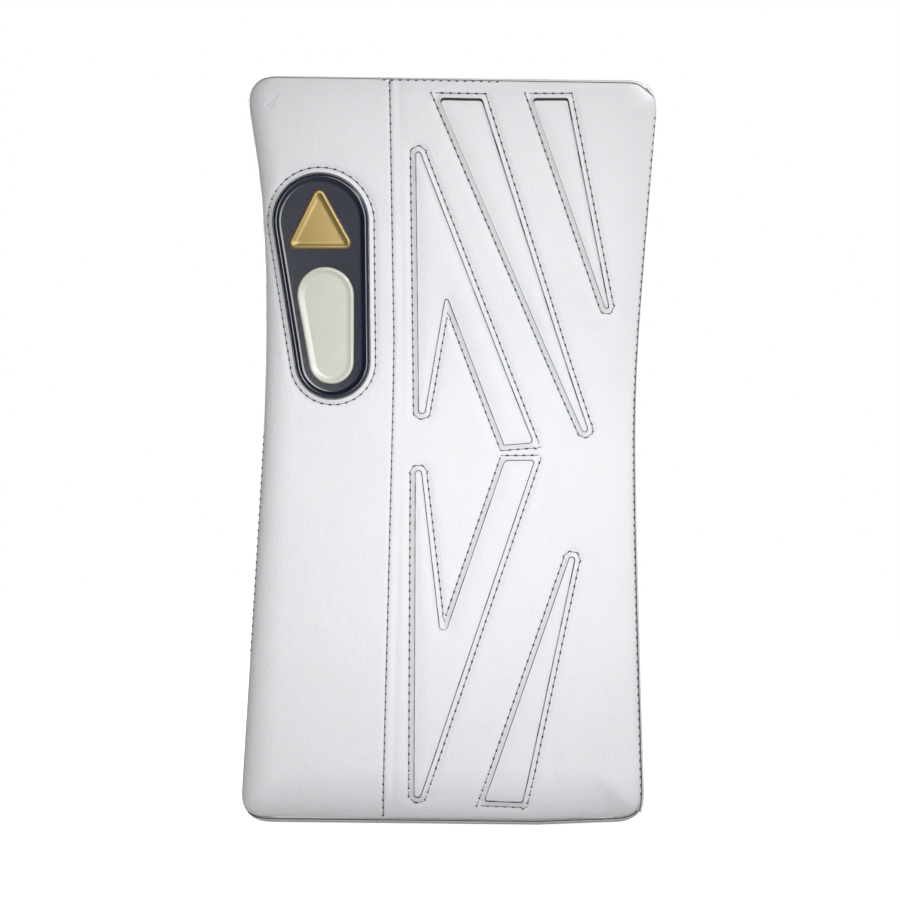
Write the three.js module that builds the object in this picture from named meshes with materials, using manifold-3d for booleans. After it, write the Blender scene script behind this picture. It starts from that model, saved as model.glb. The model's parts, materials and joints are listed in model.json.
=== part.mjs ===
// An ice-hockey goalkeeper's blocker for the right hand: a padded board that meets the puck, with a
// leather glove, a side guard and a strapped cuff sewn to its back.
//
// Frame: millimetres, +X to the little-finger side, +Y out of the back of the board, +Z from the wrist
// end to the fingertip end. The origin is on the board's lower edge, in the middle of its thickness. All
// the pieces are drawn with the front face at y = 0, and the last lines move the whole to that origin.

import * as THREE from "three";
import { mergeVertices } from "three/addons/utils/BufferGeometryUtils.js";
import Module from "manifold-3d";

const wasm = await Module();
wasm.setup();

// ---------------------------------------------------------------- driving dimensions

const GAP = 0.3; // air between two layers that lie on each other
const BOARD = { length: 377, corner: 17, waistAt: 262 };
const THUMB_EDGE = { bottom: 102, waist: 94, top: 100 }; // half widths on the thumb side
const LITTLE_EDGE = { bottom: 98, waist: 97, top: 101 }; // half widths on the little-finger side
const BEND = { start: 186, radius: 250, angle: 16, steps: 4 }; // the upper board leans to the front

// The board's layers from the front to the back, with their thickness.
const LAYERS = [
  ["face", 1.2],
  ["underlay", 0.8],
  ["foam", 6],
  ["plate", 1.6],
  ["core", 13.5],
  ["back", 1.2],
  ["binding", 1.4],
];
const DEPTH = {};
let filled = 0;
for (const [name, thickness] of LAYERS) {
  DEPTH[name] = { front: filled, back: filled + thickness };
  filled += thickness + GAP;
}
const BACK_Y = DEPTH.back.back; // outer surface of the back panel on the flat part of the board

const FACE_INSET = 1; // the face stops this far inside the side band
const SKIN = 1.2; // side band
const STITCH_MARGIN = 3.2; // how far an inlay reaches under the leather round its window
const SEAM = [
  [-33, -5],
  [-28.2, 245],
  [-29.4, BOARD.length + 5],
]; // between the thumb-side strip and the main panel of the face
const SEAM_GAP = 0.2;

const HAND = { centre: 8, width: 100, pad: 7, wall: 2.2, cavity: 31, low: 104, knuckles: 210 };
const FLANGE = { width: 12, thickness: 2 }; // the palm's sewing edge on the back of the board
const STALL_WALL = 2; // leather of the finger and thumb stalls
const STALL_PAD = 3; // foam guards on the index finger and thumb
const FINGER = { width: 23.2, depth: 26, pitch: 24.2, restBase: 14, restTip: 22 };
const FINGERS = [
  { name: "index", base: 40, tip: 36 },
  { name: "middle", base: 44, tip: 40 },
  { name: "ring", base: 41, tip: 37 },
  { name: "little", base: 33, tip: 29 },
];
const KNUCKLE_HALF_ANGLE = 40; // how far each end of a knuckle is cut back, so that it can fold
const KNUCKLE_GAP = 0.8;
const THUMB = { width: 27, depth: 27, base: 32, tip: 34, lean: 9, restBase: 6, restTip: 14 };
const THUMB_ROOT = new THREE.Vector3(-26, 50, 118); // inside the palm, where the thumb's tube starts
const THUMB_KNUCKLE = new THREE.Vector3(-58, 51, 149);

const CUFF = { low: 22, high: 98, halfWidth: 68, height: 58, corner: 34, wall: 7, clearance: 4 };
const WING_EDGE = { thumb: -22, little: 34 }; // the two wings stop here, and the strap closes the gap
const SLEEVE = { wall: 1.6, clearance: 1.4 };
const STRAP = { low: 48, high: 92, thickness: 2.4, tape: 1.2, start: 24, end: 37 };
const GUARD = { low: 112, high: 292, reach: 60, thickness: 10, cover: 1.6, plate: 1.4, clearance: 2.6 };
const GUARD_X = -THUMB_EDGE.waist - 4; // outer face of the guard
const EYELETS = 4; // on each side of the palm
const LACE = { radius: 1, low: 7, step: 9.6, hole: 2.2, eyelet: 3.2 };

// ---------------------------------------------------------------- materials

const material = (color, roughness, metalness = 0) =>
  new THREE.MeshStandardMaterial({ color, roughness, metalness });
const WHITE_LEATHER = material(0xe9eaec, 0.55);
const SIDE_LEATHER = material(0xe2e3e6, 0.6);
const BACK_FABRIC = material(0x25272b, 0.85);
const FOAM = material(0xb9bcc0, 0.95);
const CORE_FOAM = material(0x4a4d52, 0.95);
const PLASTIC = material(0xd9dadb, 0.4);
const NAVY = material(0x10172b, 0.35);
const GOLD = material(0x8d7540, 0.35, 0.6);
const IVORY = material(0xd3d3c6, 0.4);
const PALM_LEATHER = material(0xb59a72, 0.8);
const MESH = material(0x2c2e33, 0.9);
const WEBBING = material(0x1d1e21, 0.85);
const STEEL = material(0xb8bbc0, 0.3, 0.9);
const CORD = material(0xefefef, 0.8);

// ---------------------------------------------------------------- solids

const radians = THREE.MathUtils.degToRad;

// A closed three.js geometry as a solid that can be cut and joined.
function solid(geometry) {
  const bare = geometry.index ? geometry.toNonIndexed() : geometry.clone();
  bare.deleteAttribute("normal");
  bare.deleteAttribute("uv");
  const merged = mergeVertices(bare, 1e-4);
  return new wasm.Manifold(
    new wasm.Mesh({
      numProp: 3,
      vertProperties: new Float32Array(merged.attributes.position.array),
      triVerts: new Uint32Array(merged.index.array),
    }),
  );
}

// The triangles of a solid as a list of three Vector3.
function trianglesOf(manifold) {
  const { vertProperties, triVerts, numProp } = manifold.getMesh();
  const vertex = (i) => new THREE.Vector3().fromArray(vertProperties, i * numProp);
  const triangles = [];
  for (let i = 0; i < triVerts.length; i += 3) {
    triangles.push([vertex(triVerts[i]), vertex(triVerts[i + 1]), vertex(triVerts[i + 2])]);
  }
  return triangles;
}

function geometryOf(triangles) {
  const geometry = new THREE.BufferGeometry().setFromPoints(triangles.flat());
  geometry.computeVertexNormals();
  return geometry;
}

const blocker = new THREE.Group();

// Adds a solid to a group as a named mesh.
function add(name, manifold, look, group = blocker) {
  const mesh = new THREE.Mesh(geometryOf(trianglesOf(manifold)), look);
  mesh.name = name;
  group.add(mesh);
  return mesh;
}

// ---------------------------------------------------------------- outlines

// A polygon whose corners are [x, y, radius], counter-clockwise, with each corner rounded by an arc.
function roundedPolygon(corners) {
  const shape = new THREE.Shape();
  const at = (i) => new THREE.Vector2(...corners.at(i % corners.length));
  corners.forEach(([, , radius], i) => {
    const corner = at(i);
    const before = at(i - 1).sub(corner).normalize();
    const after = at(i + 1).sub(corner).normalize();
    const half = before.angleTo(after) / 2;
    const inward = before.clone().add(after).normalize();
    const centre = inward.multiplyScalar(radius / Math.sin(half)).add(corner);
    const reach = radius / Math.tan(half);
    const from = before.clone().multiplyScalar(reach).add(corner).sub(centre);
    const to = after.clone().multiplyScalar(reach).add(corner).sub(centre);
    const reflex = before.cross(after) > 0;
    shape.absarc(centre.x, centre.y, radius, from.angle(), to.angle(), reflex);
  });
  shape.closePath();
  return shape;
}

// The same corners moved outwards by a distance, or inwards if it is negative.
function offset(corners, distance) {
  const at = (i) => new THREE.Vector2(...corners.at(i % corners.length));
  return corners.map(([x, y, radius], i) => {
    const along = at(i).sub(at(i - 1)).normalize();
    const next = at(i + 1).sub(at(i)).normalize();
    const scale = distance / (1 + along.dot(next));
    const reflex = along.cross(next) < 0;
    const kept = Math.max(radius + (reflex ? -distance : distance), 0.3);
    return [x + (along.y + next.y) * scale, y - (along.x + next.x) * scale, kept];
  });
}

// The board seen from the front, laid flat, with all its edges moved in by an inset.
function boardOutline(inset = 0) {
  const low = inset;
  const high = BOARD.length - inset;
  const r = BOARD.corner - inset;
  const right = (edge) => LITTLE_EDGE[edge] - inset;
  const left = (edge) => inset - THUMB_EDGE[edge];
  const waist = BOARD.waistAt;
  const shape = new THREE.Shape();
  shape.moveTo(left("bottom") + r, low);
  shape.lineTo(right("bottom") - r, low);
  shape.quadraticCurveTo(right("bottom"), low, right("bottom"), low + r);
  shape.splineThru([
    new THREE.Vector2(right("waist"), waist),
    new THREE.Vector2(right("top"), high - r),
  ]);
  shape.quadraticCurveTo(right("top"), high, right("top") - r, high);
  shape.lineTo(left("top") + r, high);
  shape.quadraticCurveTo(left("top"), high, left("top"), high - r);
  shape.splineThru([
    new THREE.Vector2(left("waist"), waist),
    new THREE.Vector2(left("bottom"), low + r),
  ]);
  shape.quadraticCurveTo(left("bottom"), low, left("bottom") + r, low);
  return shape;
}

// The five windows in the main panel of the face: two above the bend line that run to a point downwards,
// a forked one beside each end of the seam, and one that runs to a point upwards.
const WINDOWS = {
  upper_fork: [
    [-16.5, 349, 2.2],
    [-16.5, 205, 3.2],
    [-9.4, 205, 3.2],
    [-1.2, 268, 0.8],
    [28.6, 190.4, 1],
    [44.4, 191.7, 1.8],
  ],
  upper_wedge: [
    [-4, 366.2, 2],
    [85.9, 156.6, 2.1],
    [17, 365.8, 2],
  ],
  upper_point: [
    [42.3, 366, 1.5],
    [86.6, 242, 1.6],
    [59.9, 366, 1.5],
  ],
  lower_fork: [
    [-17.5, 220, 2.5],
    [-17.5, 1.2, 2.1],
    [45, 183.1, 1.5],
    [28.9, 183, 3],
    [-3.4, 89.9, 1.9],
  ],
  lower_wedge: [
    [73.6, 171.5, 2.5],
    [17.6, 10.8, 1.5],
    [37.4, 10, 1.5],
  ],
};

// A capsule that tapers from one round end to the other, as a badge's outline.
function taperedCapsule(top, topRadius, bottom, bottomRadius) {
  const run = new THREE.Vector2(...top).sub(new THREE.Vector2(...bottom));
  const lean = run.angle();
  const flare = Math.acos((bottomRadius - topRadius) / run.length());
  const shape = new THREE.Shape();
  shape.absarc(bottom[0], bottom[1], bottomRadius, lean + flare, lean - flare, false);
  shape.absarc(top[0], top[1], topRadius, lean - flare, lean + flare, false);
  shape.closePath();
  return shape;
}
const badgeOutline = (grow = 0) => taperedCapsule([-65, 305], 24 + grow, [-60, 234], 19 + grow);
const badgeBar = (grow = 0) => taperedCapsule([-63, 268], 14.5 + grow, [-60.5, 234], 11.5 + grow);
const BADGE_DELTA = [
  [-65.5, 324.5, 3],
  [-83, 291.5, 3],
  [-47.5, 291.5, 3],
];

// ---------------------------------------------------------------- the board, laid flat and then bent

// A flat plate with that outline, between two depths behind the face.
function plate(shape, front, back, curveSegments = 4) {
  const geometry = new THREE.ExtrudeGeometry(shape, {
    depth: back - front,
    bevelEnabled: false,
    curveSegments,
  });
  geometry.rotateX(Math.PI / 2); // the shape's y becomes z, and its thickness runs to -y
  return solid(geometry.translate(0, back, 0));
}

const layer = (name, inset) => plate(boardOutline(inset), DEPTH[name].front, DEPTH[name].back);

// A ring of board outline between two insets.
function ring(outer, inner, front, back) {
  const shape = boardOutline(outer);
  shape.holes.push(new THREE.Path(boardOutline(inner).getPoints(4)));
  return plate(shape, front, back);
}

const FAR = 250; // beyond the whole object, for blocks that cut something off

function block(low, high) {
  const size = high.map((v, i) => v - low[i]);
  const geometry = new THREE.BoxGeometry(...size);
  return solid(geometry.translate(...low.map((v, i) => v + size[i] / 2)));
}

// Everything on one side of the face's seam: side -1 is the thumb side.
function besideSeam(side) {
  const edge = SEAM.map(([x, z]) => [x + side * SEAM_GAP, z]);
  const far = side * (BOARD.length / 2);
  const points = [...edge, [far, edge.at(-1)[1]], [far, edge[0][1]]];
  const shape = new THREE.Shape(points.map(([x, z]) => new THREE.Vector2(x, z)));
  return plate(shape, -10, 40);
}

const bendLevels = Array.from(
  { length: BEND.steps + 1 },
  (_, i) => BEND.start + (radians(BEND.angle) * BEND.radius * i) / BEND.steps,
);

// Cuts each triangle that crosses a height, so that the bend can follow the curve.
function splitAt(triangles, z) {
  const cross = (a, b) => {
    const [low, high] = a.z < b.z ? [a, b] : [b, a];
    return low.clone().lerp(high, (z - low.z) / (high.z - low.z)).setZ(z);
  };
  return triangles.flatMap((triangle) => {
    const above = triangle.map((v) => v.z > z + 1e-4);
    const below = triangle.map((v) => v.z < z - 1e-4);
    if (!above.some(Boolean) || !below.some(Boolean)) return [triangle];
    const onLine = triangle.findIndex((_, i) => !above[i] && !below[i]);
    if (onLine >= 0) {
      const [on, next, last] = [0, 1, 2].map((i) => triangle[(onLine + i) % 3]);
      const cut = cross(next, last);
      return [
        [on, next, cut],
        [on.clone(), cut.clone(), last],
      ];
    }
    const lone = above.filter(Boolean).length === 1 ? above.indexOf(true) : below.indexOf(true);
    const [tip, left, right] = [0, 1, 2].map((i) => triangle[(lone + i) % 3]);
    const toLeft = cross(tip, left);
    const toRight = cross(tip, right);
    return [
      [tip, toLeft, toRight],
      [toLeft.clone(), left, right],
      [toLeft.clone(), right.clone(), toRight.clone()],
    ];
  });
}

// Moves a point of the flat board to its place on the bent one: flat below the bend, round in it, and
// straight again above it.
function bendPoint(v) {
  if (v.z <= BEND.start) return;
  const along = v.z - BEND.start;
  const arc = radians(BEND.angle) * BEND.radius;
  const angle = Math.min(along, arc) / BEND.radius;
  const beyond = Math.max(along - arc, 0);
  const radius = BEND.radius + v.y;
  v.set(
    v.x,
    radius * Math.cos(angle) - BEND.radius - beyond * Math.sin(angle),
    BEND.start + radius * Math.sin(angle) + beyond * Math.cos(angle),
  );
}

// Bends a flat solid and adds it as a named mesh.
function addBent(name, manifold, look) {
  const triangles = bendLevels.reduce(splitAt, trianglesOf(manifold));
  triangles.flat().forEach(bendPoint);
  add(name, solid(geometryOf(triangles)), look);
}

function makeFace() {
  let main = layer("face", FACE_INSET).intersect(besideSeam(1));
  for (const corners of Object.values(WINDOWS)) {
    main = main.subtract(plate(roundedPolygon(corners), -1, DEPTH.face.back + 1, 3));
  }
  addBent("face_main_panel", main, WHITE_LEATHER);

  const badgeHole = plate(badgeOutline(0.8), -1, DEPTH.face.back + 1);
  const strip = layer("face", FACE_INSET).intersect(besideSeam(-1)).subtract(badgeHole);
  addBent("face_thumb_strip", strip, WHITE_LEATHER);

  for (const [name, corners] of Object.entries(WINDOWS)) {
    const { front, back } = DEPTH.underlay;
    const sheet = plate(roundedPolygon(offset(corners, STITCH_MARGIN)), front, back, 3);
    const island = plate(roundedPolygon(offset(corners, -0.4)), GAP, back - 0.2, 3);
    addBent("inlay_" + name, sheet.add(island), WHITE_LEATHER);
  }
}

function makeBadge() {
  const top = -1.2;
  const floor = 0.2; // of the pockets that hold the two coloured pieces
  const pocketDelta = plate(roundedPolygon(offset(BADGE_DELTA, 0.3)), top - 1, floor);
  const pocketBar = plate(badgeBar(0.3), top - 1, floor);
  const base = plate(badgeOutline(), top, DEPTH.underlay.back);
  addBent("badge_base", base.subtract(pocketDelta).subtract(pocketBar), NAVY);
  addBent("badge_delta", plate(roundedPolygon(BADGE_DELTA), top - 0.5, floor - GAP), GOLD);
  addBent("badge_bar", plate(badgeBar(), top - 0.5, floor - GAP), IVORY);
}

function makeBody() {
  const inside = SKIN + GAP + 0.2;
  addBent("face_foam", layer("foam", inside), FOAM);
  addBent("impact_plate", layer("plate", inside), PLASTIC);
  addBent("core_foam", layer("core", inside), CORE_FOAM);
  addBent("edge_binding", ring(0.4, 7, DEPTH.binding.front, DEPTH.binding.back), SIDE_LEATHER);

  const band = ring(0, SKIN, DEPTH.underlay.front, DEPTH.core.back);
  const edge = LITTLE_EDGE.bottom - BOARD.corner / 3;
  const end = BOARD.corner / 3;
  const rightSide = block([edge, -5, end], [edge + 30, 50, BOARD.length - end]);
  const joint = block([edge - GAP, -5, end - GAP], [edge + 30, 50, BOARD.length - end + GAP]);
  addBent("side_band", band.subtract(joint), SIDE_LEATHER);
  addBent("side_band_little_side", band.intersect(rightSide), SIDE_LEATHER);

  let panel = layer("back", 0.4);
  for (const { x, z } of allLacePoints.filter((p) => p.onBoard)) {
    panel = panel.subtract(cylinder(LACE.hole, BACK_Y - 5, BACK_Y + 5, x, z));
  }
  addBent("back_panel", panel, BACK_FABRIC);
}

// A cylinder along y.
function cylinder(radius, low, high, x, z) {
  const geometry = new THREE.CylinderGeometry(radius, radius, high - low, 8);
  return solid(geometry.translate(x, (low + high) / 2, z));
}

// ---------------------------------------------------------------- the hand on the back

// A block round the hand with two rounded corners away from the board, where its foot is at y = foot.
function arch(halfWidth, height, foot, low, high, corner) {
  const { centre } = HAND;
  const shoulder = foot + height - corner;
  const shape = new THREE.Shape();
  shape.moveTo(centre - halfWidth, foot);
  shape.lineTo(centre + halfWidth, foot);
  shape.absarc(centre + halfWidth - corner, shoulder, corner, 0, Math.PI / 2);
  shape.absarc(centre - halfWidth + corner, shoulder, corner, Math.PI / 2, Math.PI);
  shape.closePath();
  const depth = high - low;
  const geometry = new THREE.ExtrudeGeometry(shape, { depth, bevelEnabled: false, curveSegments: 5 });
  return solid(geometry.translate(0, 0, low));
}

// Turns an extrusion so that its shape lies in the Y-Z plane and its thickness runs along x.
const YZ_SHAPE_TO_X = new THREE.Matrix4().set(0, 0, 1, 0, 1, 0, 0, 0, 0, 1, 0, 0, 0, 0, 0, 1);

// Everything beyond a knuckle, seen from the part on its other side: below it for side -1, above for +1.
// The knuckle's axis is at y = 0, z = 0, and the palm side is +y.
function beyondKnuckle(side) {
  const reach = 60;
  const fall = reach * Math.tan(radians(KNUCKLE_HALF_ANGLE));
  const corners = [
    [-reach, KNUCKLE_GAP],
    [0, KNUCKLE_GAP],
    [reach, KNUCKLE_GAP + fall],
    [reach, -2 * reach],
    [-reach, -2 * reach],
  ];
  const shape = new THREE.Shape(corners.map(([y, z]) => new THREE.Vector2(y, -side * z)));
  const geometry = new THREE.ExtrudeGeometry(shape, { depth: 200, bevelEnabled: false });
  geometry.translate(0, 0, -100);
  return solid(geometry.applyMatrix4(YZ_SHAPE_TO_X));
}

const moved = (manifold, x, y, z) => {
  const triangles = trianglesOf(manifold);
  triangles.flat().forEach((v) => v.add(new THREE.Vector3(x, y, z)));
  return solid(geometryOf(triangles));
};

// A round-ended stall along z, from well below its root to its tip, grown all round by a distance.
function stallBody(width, depth, length, grow) {
  const radius = depth / 2 + grow;
  const below = 40;
  const straight = length - depth / 2 + below;
  const geometry = new THREE.CapsuleGeometry(radius, straight, 3, 16);
  geometry.rotateX(Math.PI / 2);
  geometry.scale((width / 2 + grow) / radius, 1, 1);
  return solid(geometry.translate(0, 0, straight / 2 - below));
}

// A finger or thumb stall in two hollow pieces, in a group whose origin is the knuckle.
function makeStall({ name, width, depth, base, tip, restBase, restTip }, group) {
  const outside = stallBody(width, depth, base + tip, 0);
  const hollow = outside.subtract(stallBody(width, depth, base + tip, -STALL_WALL));
  const lower = beyondKnuckle(-1);
  const upper = moved(beyondKnuckle(1), 0, 0, base);
  const basePiece = hollow.subtract(lower).subtract(upper);
  const tipPiece = moved(hollow, 0, 0, -base).subtract(lower);
  group.rotateX(-radians(restBase));
  add(name + "_base", basePiece, PALM_LEATHER, group);
  const tipGroup = new THREE.Group();
  tipGroup.position.set(0, 0, base);
  tipGroup.rotateX(-radians(restTip));
  add(name + "_tip", tipPiece, PALM_LEATHER, tipGroup);
  group.add(tipGroup);
  return tipGroup;
}

const HAND_FLOOR = BACK_Y + GAP + HAND.pad; // the back of the wearer's hand
const KNUCKLE_Y = HAND_FLOOR + FINGER.depth / 2 + 1.5;

function makeFingers() {
  FINGERS.forEach((finger, i) => {
    const group = new THREE.Group();
    const x = HAND.centre + (i - (FINGERS.length - 1) / 2) * FINGER.pitch;
    group.position.set(x, KNUCKLE_Y, HAND.knuckles);
    blocker.add(group);
    const tipGroup = makeStall({ ...FINGER, ...finger, name: "finger_" + finger.name }, group);
    if (finger.name === "index") makeIndexGuards(finger, group, tipGroup);
  });
}

// A padded shell over the part of a stall that a block covers.
function guardShell({ width, depth }, length, covered) {
  const outer = stallBody(width, depth, length, GAP + STALL_PAD);
  return outer.subtract(stallBody(width, depth, length, GAP)).intersect(covered);
}

function makeIndexGuards({ base, tip }, baseGroup, tipGroup) {
  const thumbSide = block([-FAR, -FAR, -FAR], [-5, 7, FAR]);
  const shell = guardShell(FINGER, base + tip, thumbSide);
  const lower = beyondKnuckle(-1);
  const onBase = shell.subtract(lower).subtract(moved(beyondKnuckle(1), 0, 0, base));
  add("index_guard_base", onBase, SIDE_LEATHER, baseGroup);
  add("index_guard_tip", moved(shell, 0, 0, -base).subtract(lower), SIDE_LEATHER, tipGroup);
}

function thumbGroup() {
  const group = new THREE.Group();
  group.position.copy(THUMB_KNUCKLE);
  group.rotateY(-radians(THUMB.lean));
  return group;
}

// The tube that joins the palm to the thumb's knuckle, shrunk all round by an inset.
function thumbTube(inset) {
  const run = THUMB_KNUCKLE.clone().sub(THUMB_ROOT);
  const past = 30; // how far it runs on before the knuckle is cut
  const geometry = new THREE.CapsuleGeometry(THUMB.width / 2 - inset, run.length() + past, 3, 16);
  geometry.translate(0, (run.length() + past) / 2, 0);
  geometry.applyQuaternion(
    new THREE.Quaternion().setFromUnitVectors(new THREE.Vector3(0, 1, 0), run.normalize()),
  );
  return solid(geometry.translate(...THUMB_ROOT));
}

function beyondThumbKnuckle() {
  const group = thumbGroup();
  group.updateMatrix();
  return solid(geometryOf(trianglesOf(beyondKnuckle(1))).applyMatrix4(group.matrix));
}

function makeThumb() {
  const group = thumbGroup();
  blocker.add(group);
  const tipGroup = makeStall({ ...THUMB, name: "thumb" }, group);
  const back = block([-FAR, -FAR, -FAR], [FAR, -1, FAR]);
  const shell = guardShell(THUMB, THUMB.base + THUMB.tip, back);
  const cap = moved(shell, 0, 0, -THUMB.base).subtract(beyondKnuckle(-1));
  add("thumb_cap", cap, SIDE_LEATHER, tipGroup);
}

const PALM_EDGE = HAND.width / 2;

// Where a side's lace passes in turn: through the eyelets in the palm's flange and the holes in the back
// panel beside it, all on the flat part of the board.
function lacePoints(side) {
  return Array.from({ length: 2 * EYELETS }, (_, i) => {
    const onBoard = i % 2 === 1;
    const out = PALM_EDGE + (onBoard ? FLANGE.width + 6 : FLANGE.width / 2 + 0.5);
    return { onBoard, x: HAND.centre + side * out, z: HAND.low + LACE.low + i * LACE.step };
  });
}
const allLacePoints = [...lacePoints(-1), ...lacePoints(1)];

function makePalm() {
  const foot = BACK_Y + GAP;
  const height = HAND.pad + HAND.cavity + HAND.wall;
  const { low, knuckles: high, wall, centre } = HAND;
  const past = 5; // the cutting tool reaches this far beyond the leather
  const outer = arch(PALM_EDGE, height, foot, low, high, 22);
  const inner = arch(PALM_EDGE - wall, height - wall + past, foot - past, low - past, high + past, 20);
  const flange = arch(PALM_EDGE + FLANGE.width, FLANGE.thickness, foot, low, BEND.start - 2, 0.8);
  let palm = outer.add(flange).add(thumbTube(0).subtract(beyondThumbKnuckle()));
  palm = palm.subtract(inner).subtract(thumbTube(HAND.wall));
  palm = palm.subtract(moved(beyondKnuckle(1), 0, KNUCKLE_Y, high));
  palm = palm.subtract(block([-FAR, -FAR, -FAR], [FAR, FAR, low])); // the wrist end is cut square
  for (const { x, z } of allLacePoints.filter((p) => !p.onBoard)) {
    palm = palm.subtract(cylinder(LACE.eyelet, foot - past, foot + FLANGE.thickness + past, x, z));
  }
  add("palm", palm, PALM_LEATHER);

  const padEdge = PALM_EDGE - wall - 1;
  const pad = block([centre - padEdge, foot, low], [centre + padEdge, foot + HAND.pad, BEND.start]);
  add("hand_pad", pad, FOAM);
}

// A rolled-edge eyelet for each of the flange's holes, made by turning its half section.
function makeEyelets() {
  const top = BACK_Y + GAP + FLANGE.thickness;
  const section = [
    [2.3, -FLANGE.thickness],
    [2.9, -FLANGE.thickness],
    [2.9, 0.1],
    [4.2, 0.1],
    [4.2, 0.5],
    [3.4, 0.9],
    [2.6, 0.8],
    [2.3, 0.4],
    [2.3, -FLANGE.thickness],
  ];
  const profile = section.map(([r, y]) => new THREE.Vector2(r, y));
  const eyelet = solid(new THREE.LatheGeometry(profile, 10));
  for (const [side, name] of [
    [-1, "thumb"],
    [1, "little"],
  ]) {
    lacePoints(side)
      .filter((p) => !p.onBoard)
      .forEach(({ x, z }, i) => add(`eyelet_${name}_side_${i + 1}`, moved(eyelet, x, top, z), STEEL));
  }
}

// A lace that dips at each hole and rises over the edge of the flange between two of them.
function makeLace(side, name) {
  const holes = lacePoints(side);
  const dips = holes.map(({ x, z, onBoard }) => new THREE.Vector3(x, BACK_Y + (onBoard ? 1.6 : 4.5), z));
  const points = dips.flatMap((dip, i) => {
    if (i === dips.length - 1) return [dip];
    const crest = dip.clone().lerp(dips[i + 1], 0.5).setY(BACK_Y + 4.9);
    return [dip, crest];
  });
  const section = new THREE.Shape().absarc(0, 0, LACE.radius, 0, Math.PI * 2);
  const geometry = new THREE.ExtrudeGeometry(section, {
    steps: 42,
    curveSegments: 3,
    extrudePath: new THREE.CatmullRomCurve3(points, false, "catmullrom", 0.6),
    bevelEnabled: false,
  });
  add(name, solid(geometry), CORD);
}

// ---------------------------------------------------------------- side guard

// The back surface of the board at a height, as y.
function backSurface(z) {
  const angleAt = (y) => Math.asin(Math.min((z - BEND.start) / (BEND.radius + y), 1));
  const angle = Math.min(Math.max(angleAt(BACK_Y), 0), radians(BEND.angle));
  const radius = BEND.radius + BACK_Y;
  const arcY = radius * Math.cos(angle) - BEND.radius;
  const arcZ = BEND.start + radius * Math.sin(angle);
  return z > arcZ ? arcY - (z - arcZ) * Math.tan(angle) : arcY;
}

// The guard from the side: its foot follows the back of the board, and its free edge is rounded.
function guardSide(inset) {
  const low = GUARD.low + inset;
  const high = GUARD.high - inset;
  const foot = (z) => backSurface(z) + GUARD.clearance + inset;
  const reach = BACK_Y + GUARD.reach - inset;
  const steps = 6;
  const shape = new THREE.Shape();
  shape.moveTo(foot(low), low);
  shape.lineTo(reach - 22, low);
  shape.quadraticCurveTo(reach, low, reach, low + 26);
  shape.lineTo(reach, high - 52);
  shape.quadraticCurveTo(reach, high, reach - 40, high);
  for (let i = 0; i <= steps; i += 1) {
    const z = THREE.MathUtils.lerp(high, BEND.start, i / steps);
    shape.lineTo(foot(z), z);
  }
  shape.closePath();
  return shape;
}

// A sheet of the guard with its outline moved in by an inset, between two distances from its outer face.
function guardSheet(inset, from, to) {
  const geometry = new THREE.ExtrudeGeometry(guardSide(inset), {
    depth: to - from,
    bevelEnabled: false,
    curveSegments: 6,
  });
  geometry.applyMatrix4(YZ_SHAPE_TO_X);
  return solid(geometry.translate(GUARD_X + from, 0, 0));
}

function makeGuard() {
  const { thickness, cover, plate: stiff } = GUARD;
  const inside = cover + GAP;
  const middle = GUARD_X + thickness / 2;
  const foot = BACK_Y + GUARD.clearance;
  const slit = block([middle - 1.5, 0, 140], [middle + 1.5, foot + cover + 1, 170]); // takes the filling
  const shell = guardSheet(0, 0, thickness).subtract(guardSheet(cover, cover, thickness - cover));
  add("side_guard_cover", shell.subtract(slit), WHITE_LEATHER);
  add("side_guard_plate", guardSheet(inside + 3, inside, inside + stiff), PLASTIC);
  add("side_guard_foam", guardSheet(inside, inside + stiff + GAP, thickness - inside), FOAM);
}

// ---------------------------------------------------------------- cuff and strap

const CUFF_FOOT = BACK_Y + CUFF.clearance;

// A slice of the cuff's arch between two offsets outwards from its outer surface.
function cuffSlice(from, to, low, high) {
  const { halfWidth, height, corner } = CUFF;
  const past = 5;
  const outer = arch(halfWidth + to, height + to, CUFF_FOOT, low, high, corner + to);
  const inner = arch(
    halfWidth + from,
    height + from + past,
    CUFF_FOOT - past,
    low - past,
    high + past,
    corner + from,
  );
  return outer.subtract(inner);
}

function makeCuff() {
  const { low, high, wall } = CUFF;
  const whole = cuffSlice(-wall, 0, low, high);
  const thumbSide = block([-FAR, -FAR, -FAR], [WING_EDGE.thumb, FAR, FAR]);
  const littleSide = block([WING_EDGE.little, -FAR, -FAR], [FAR, FAR, FAR]);
  add("cuff_thumb_wing", whole.intersect(thumbSide), BACK_FABRIC);
  add("cuff_little_wing", whole.intersect(littleSide), BACK_FABRIC);

  const sleeveOuter = -wall - SLEEVE.clearance;
  const sleeve = cuffSlice(sleeveOuter - SLEEVE.wall, sleeveOuter, low + 4, HAND.low - 1.5);
  add("wrist_sleeve", sleeve, MESH);
}

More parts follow.
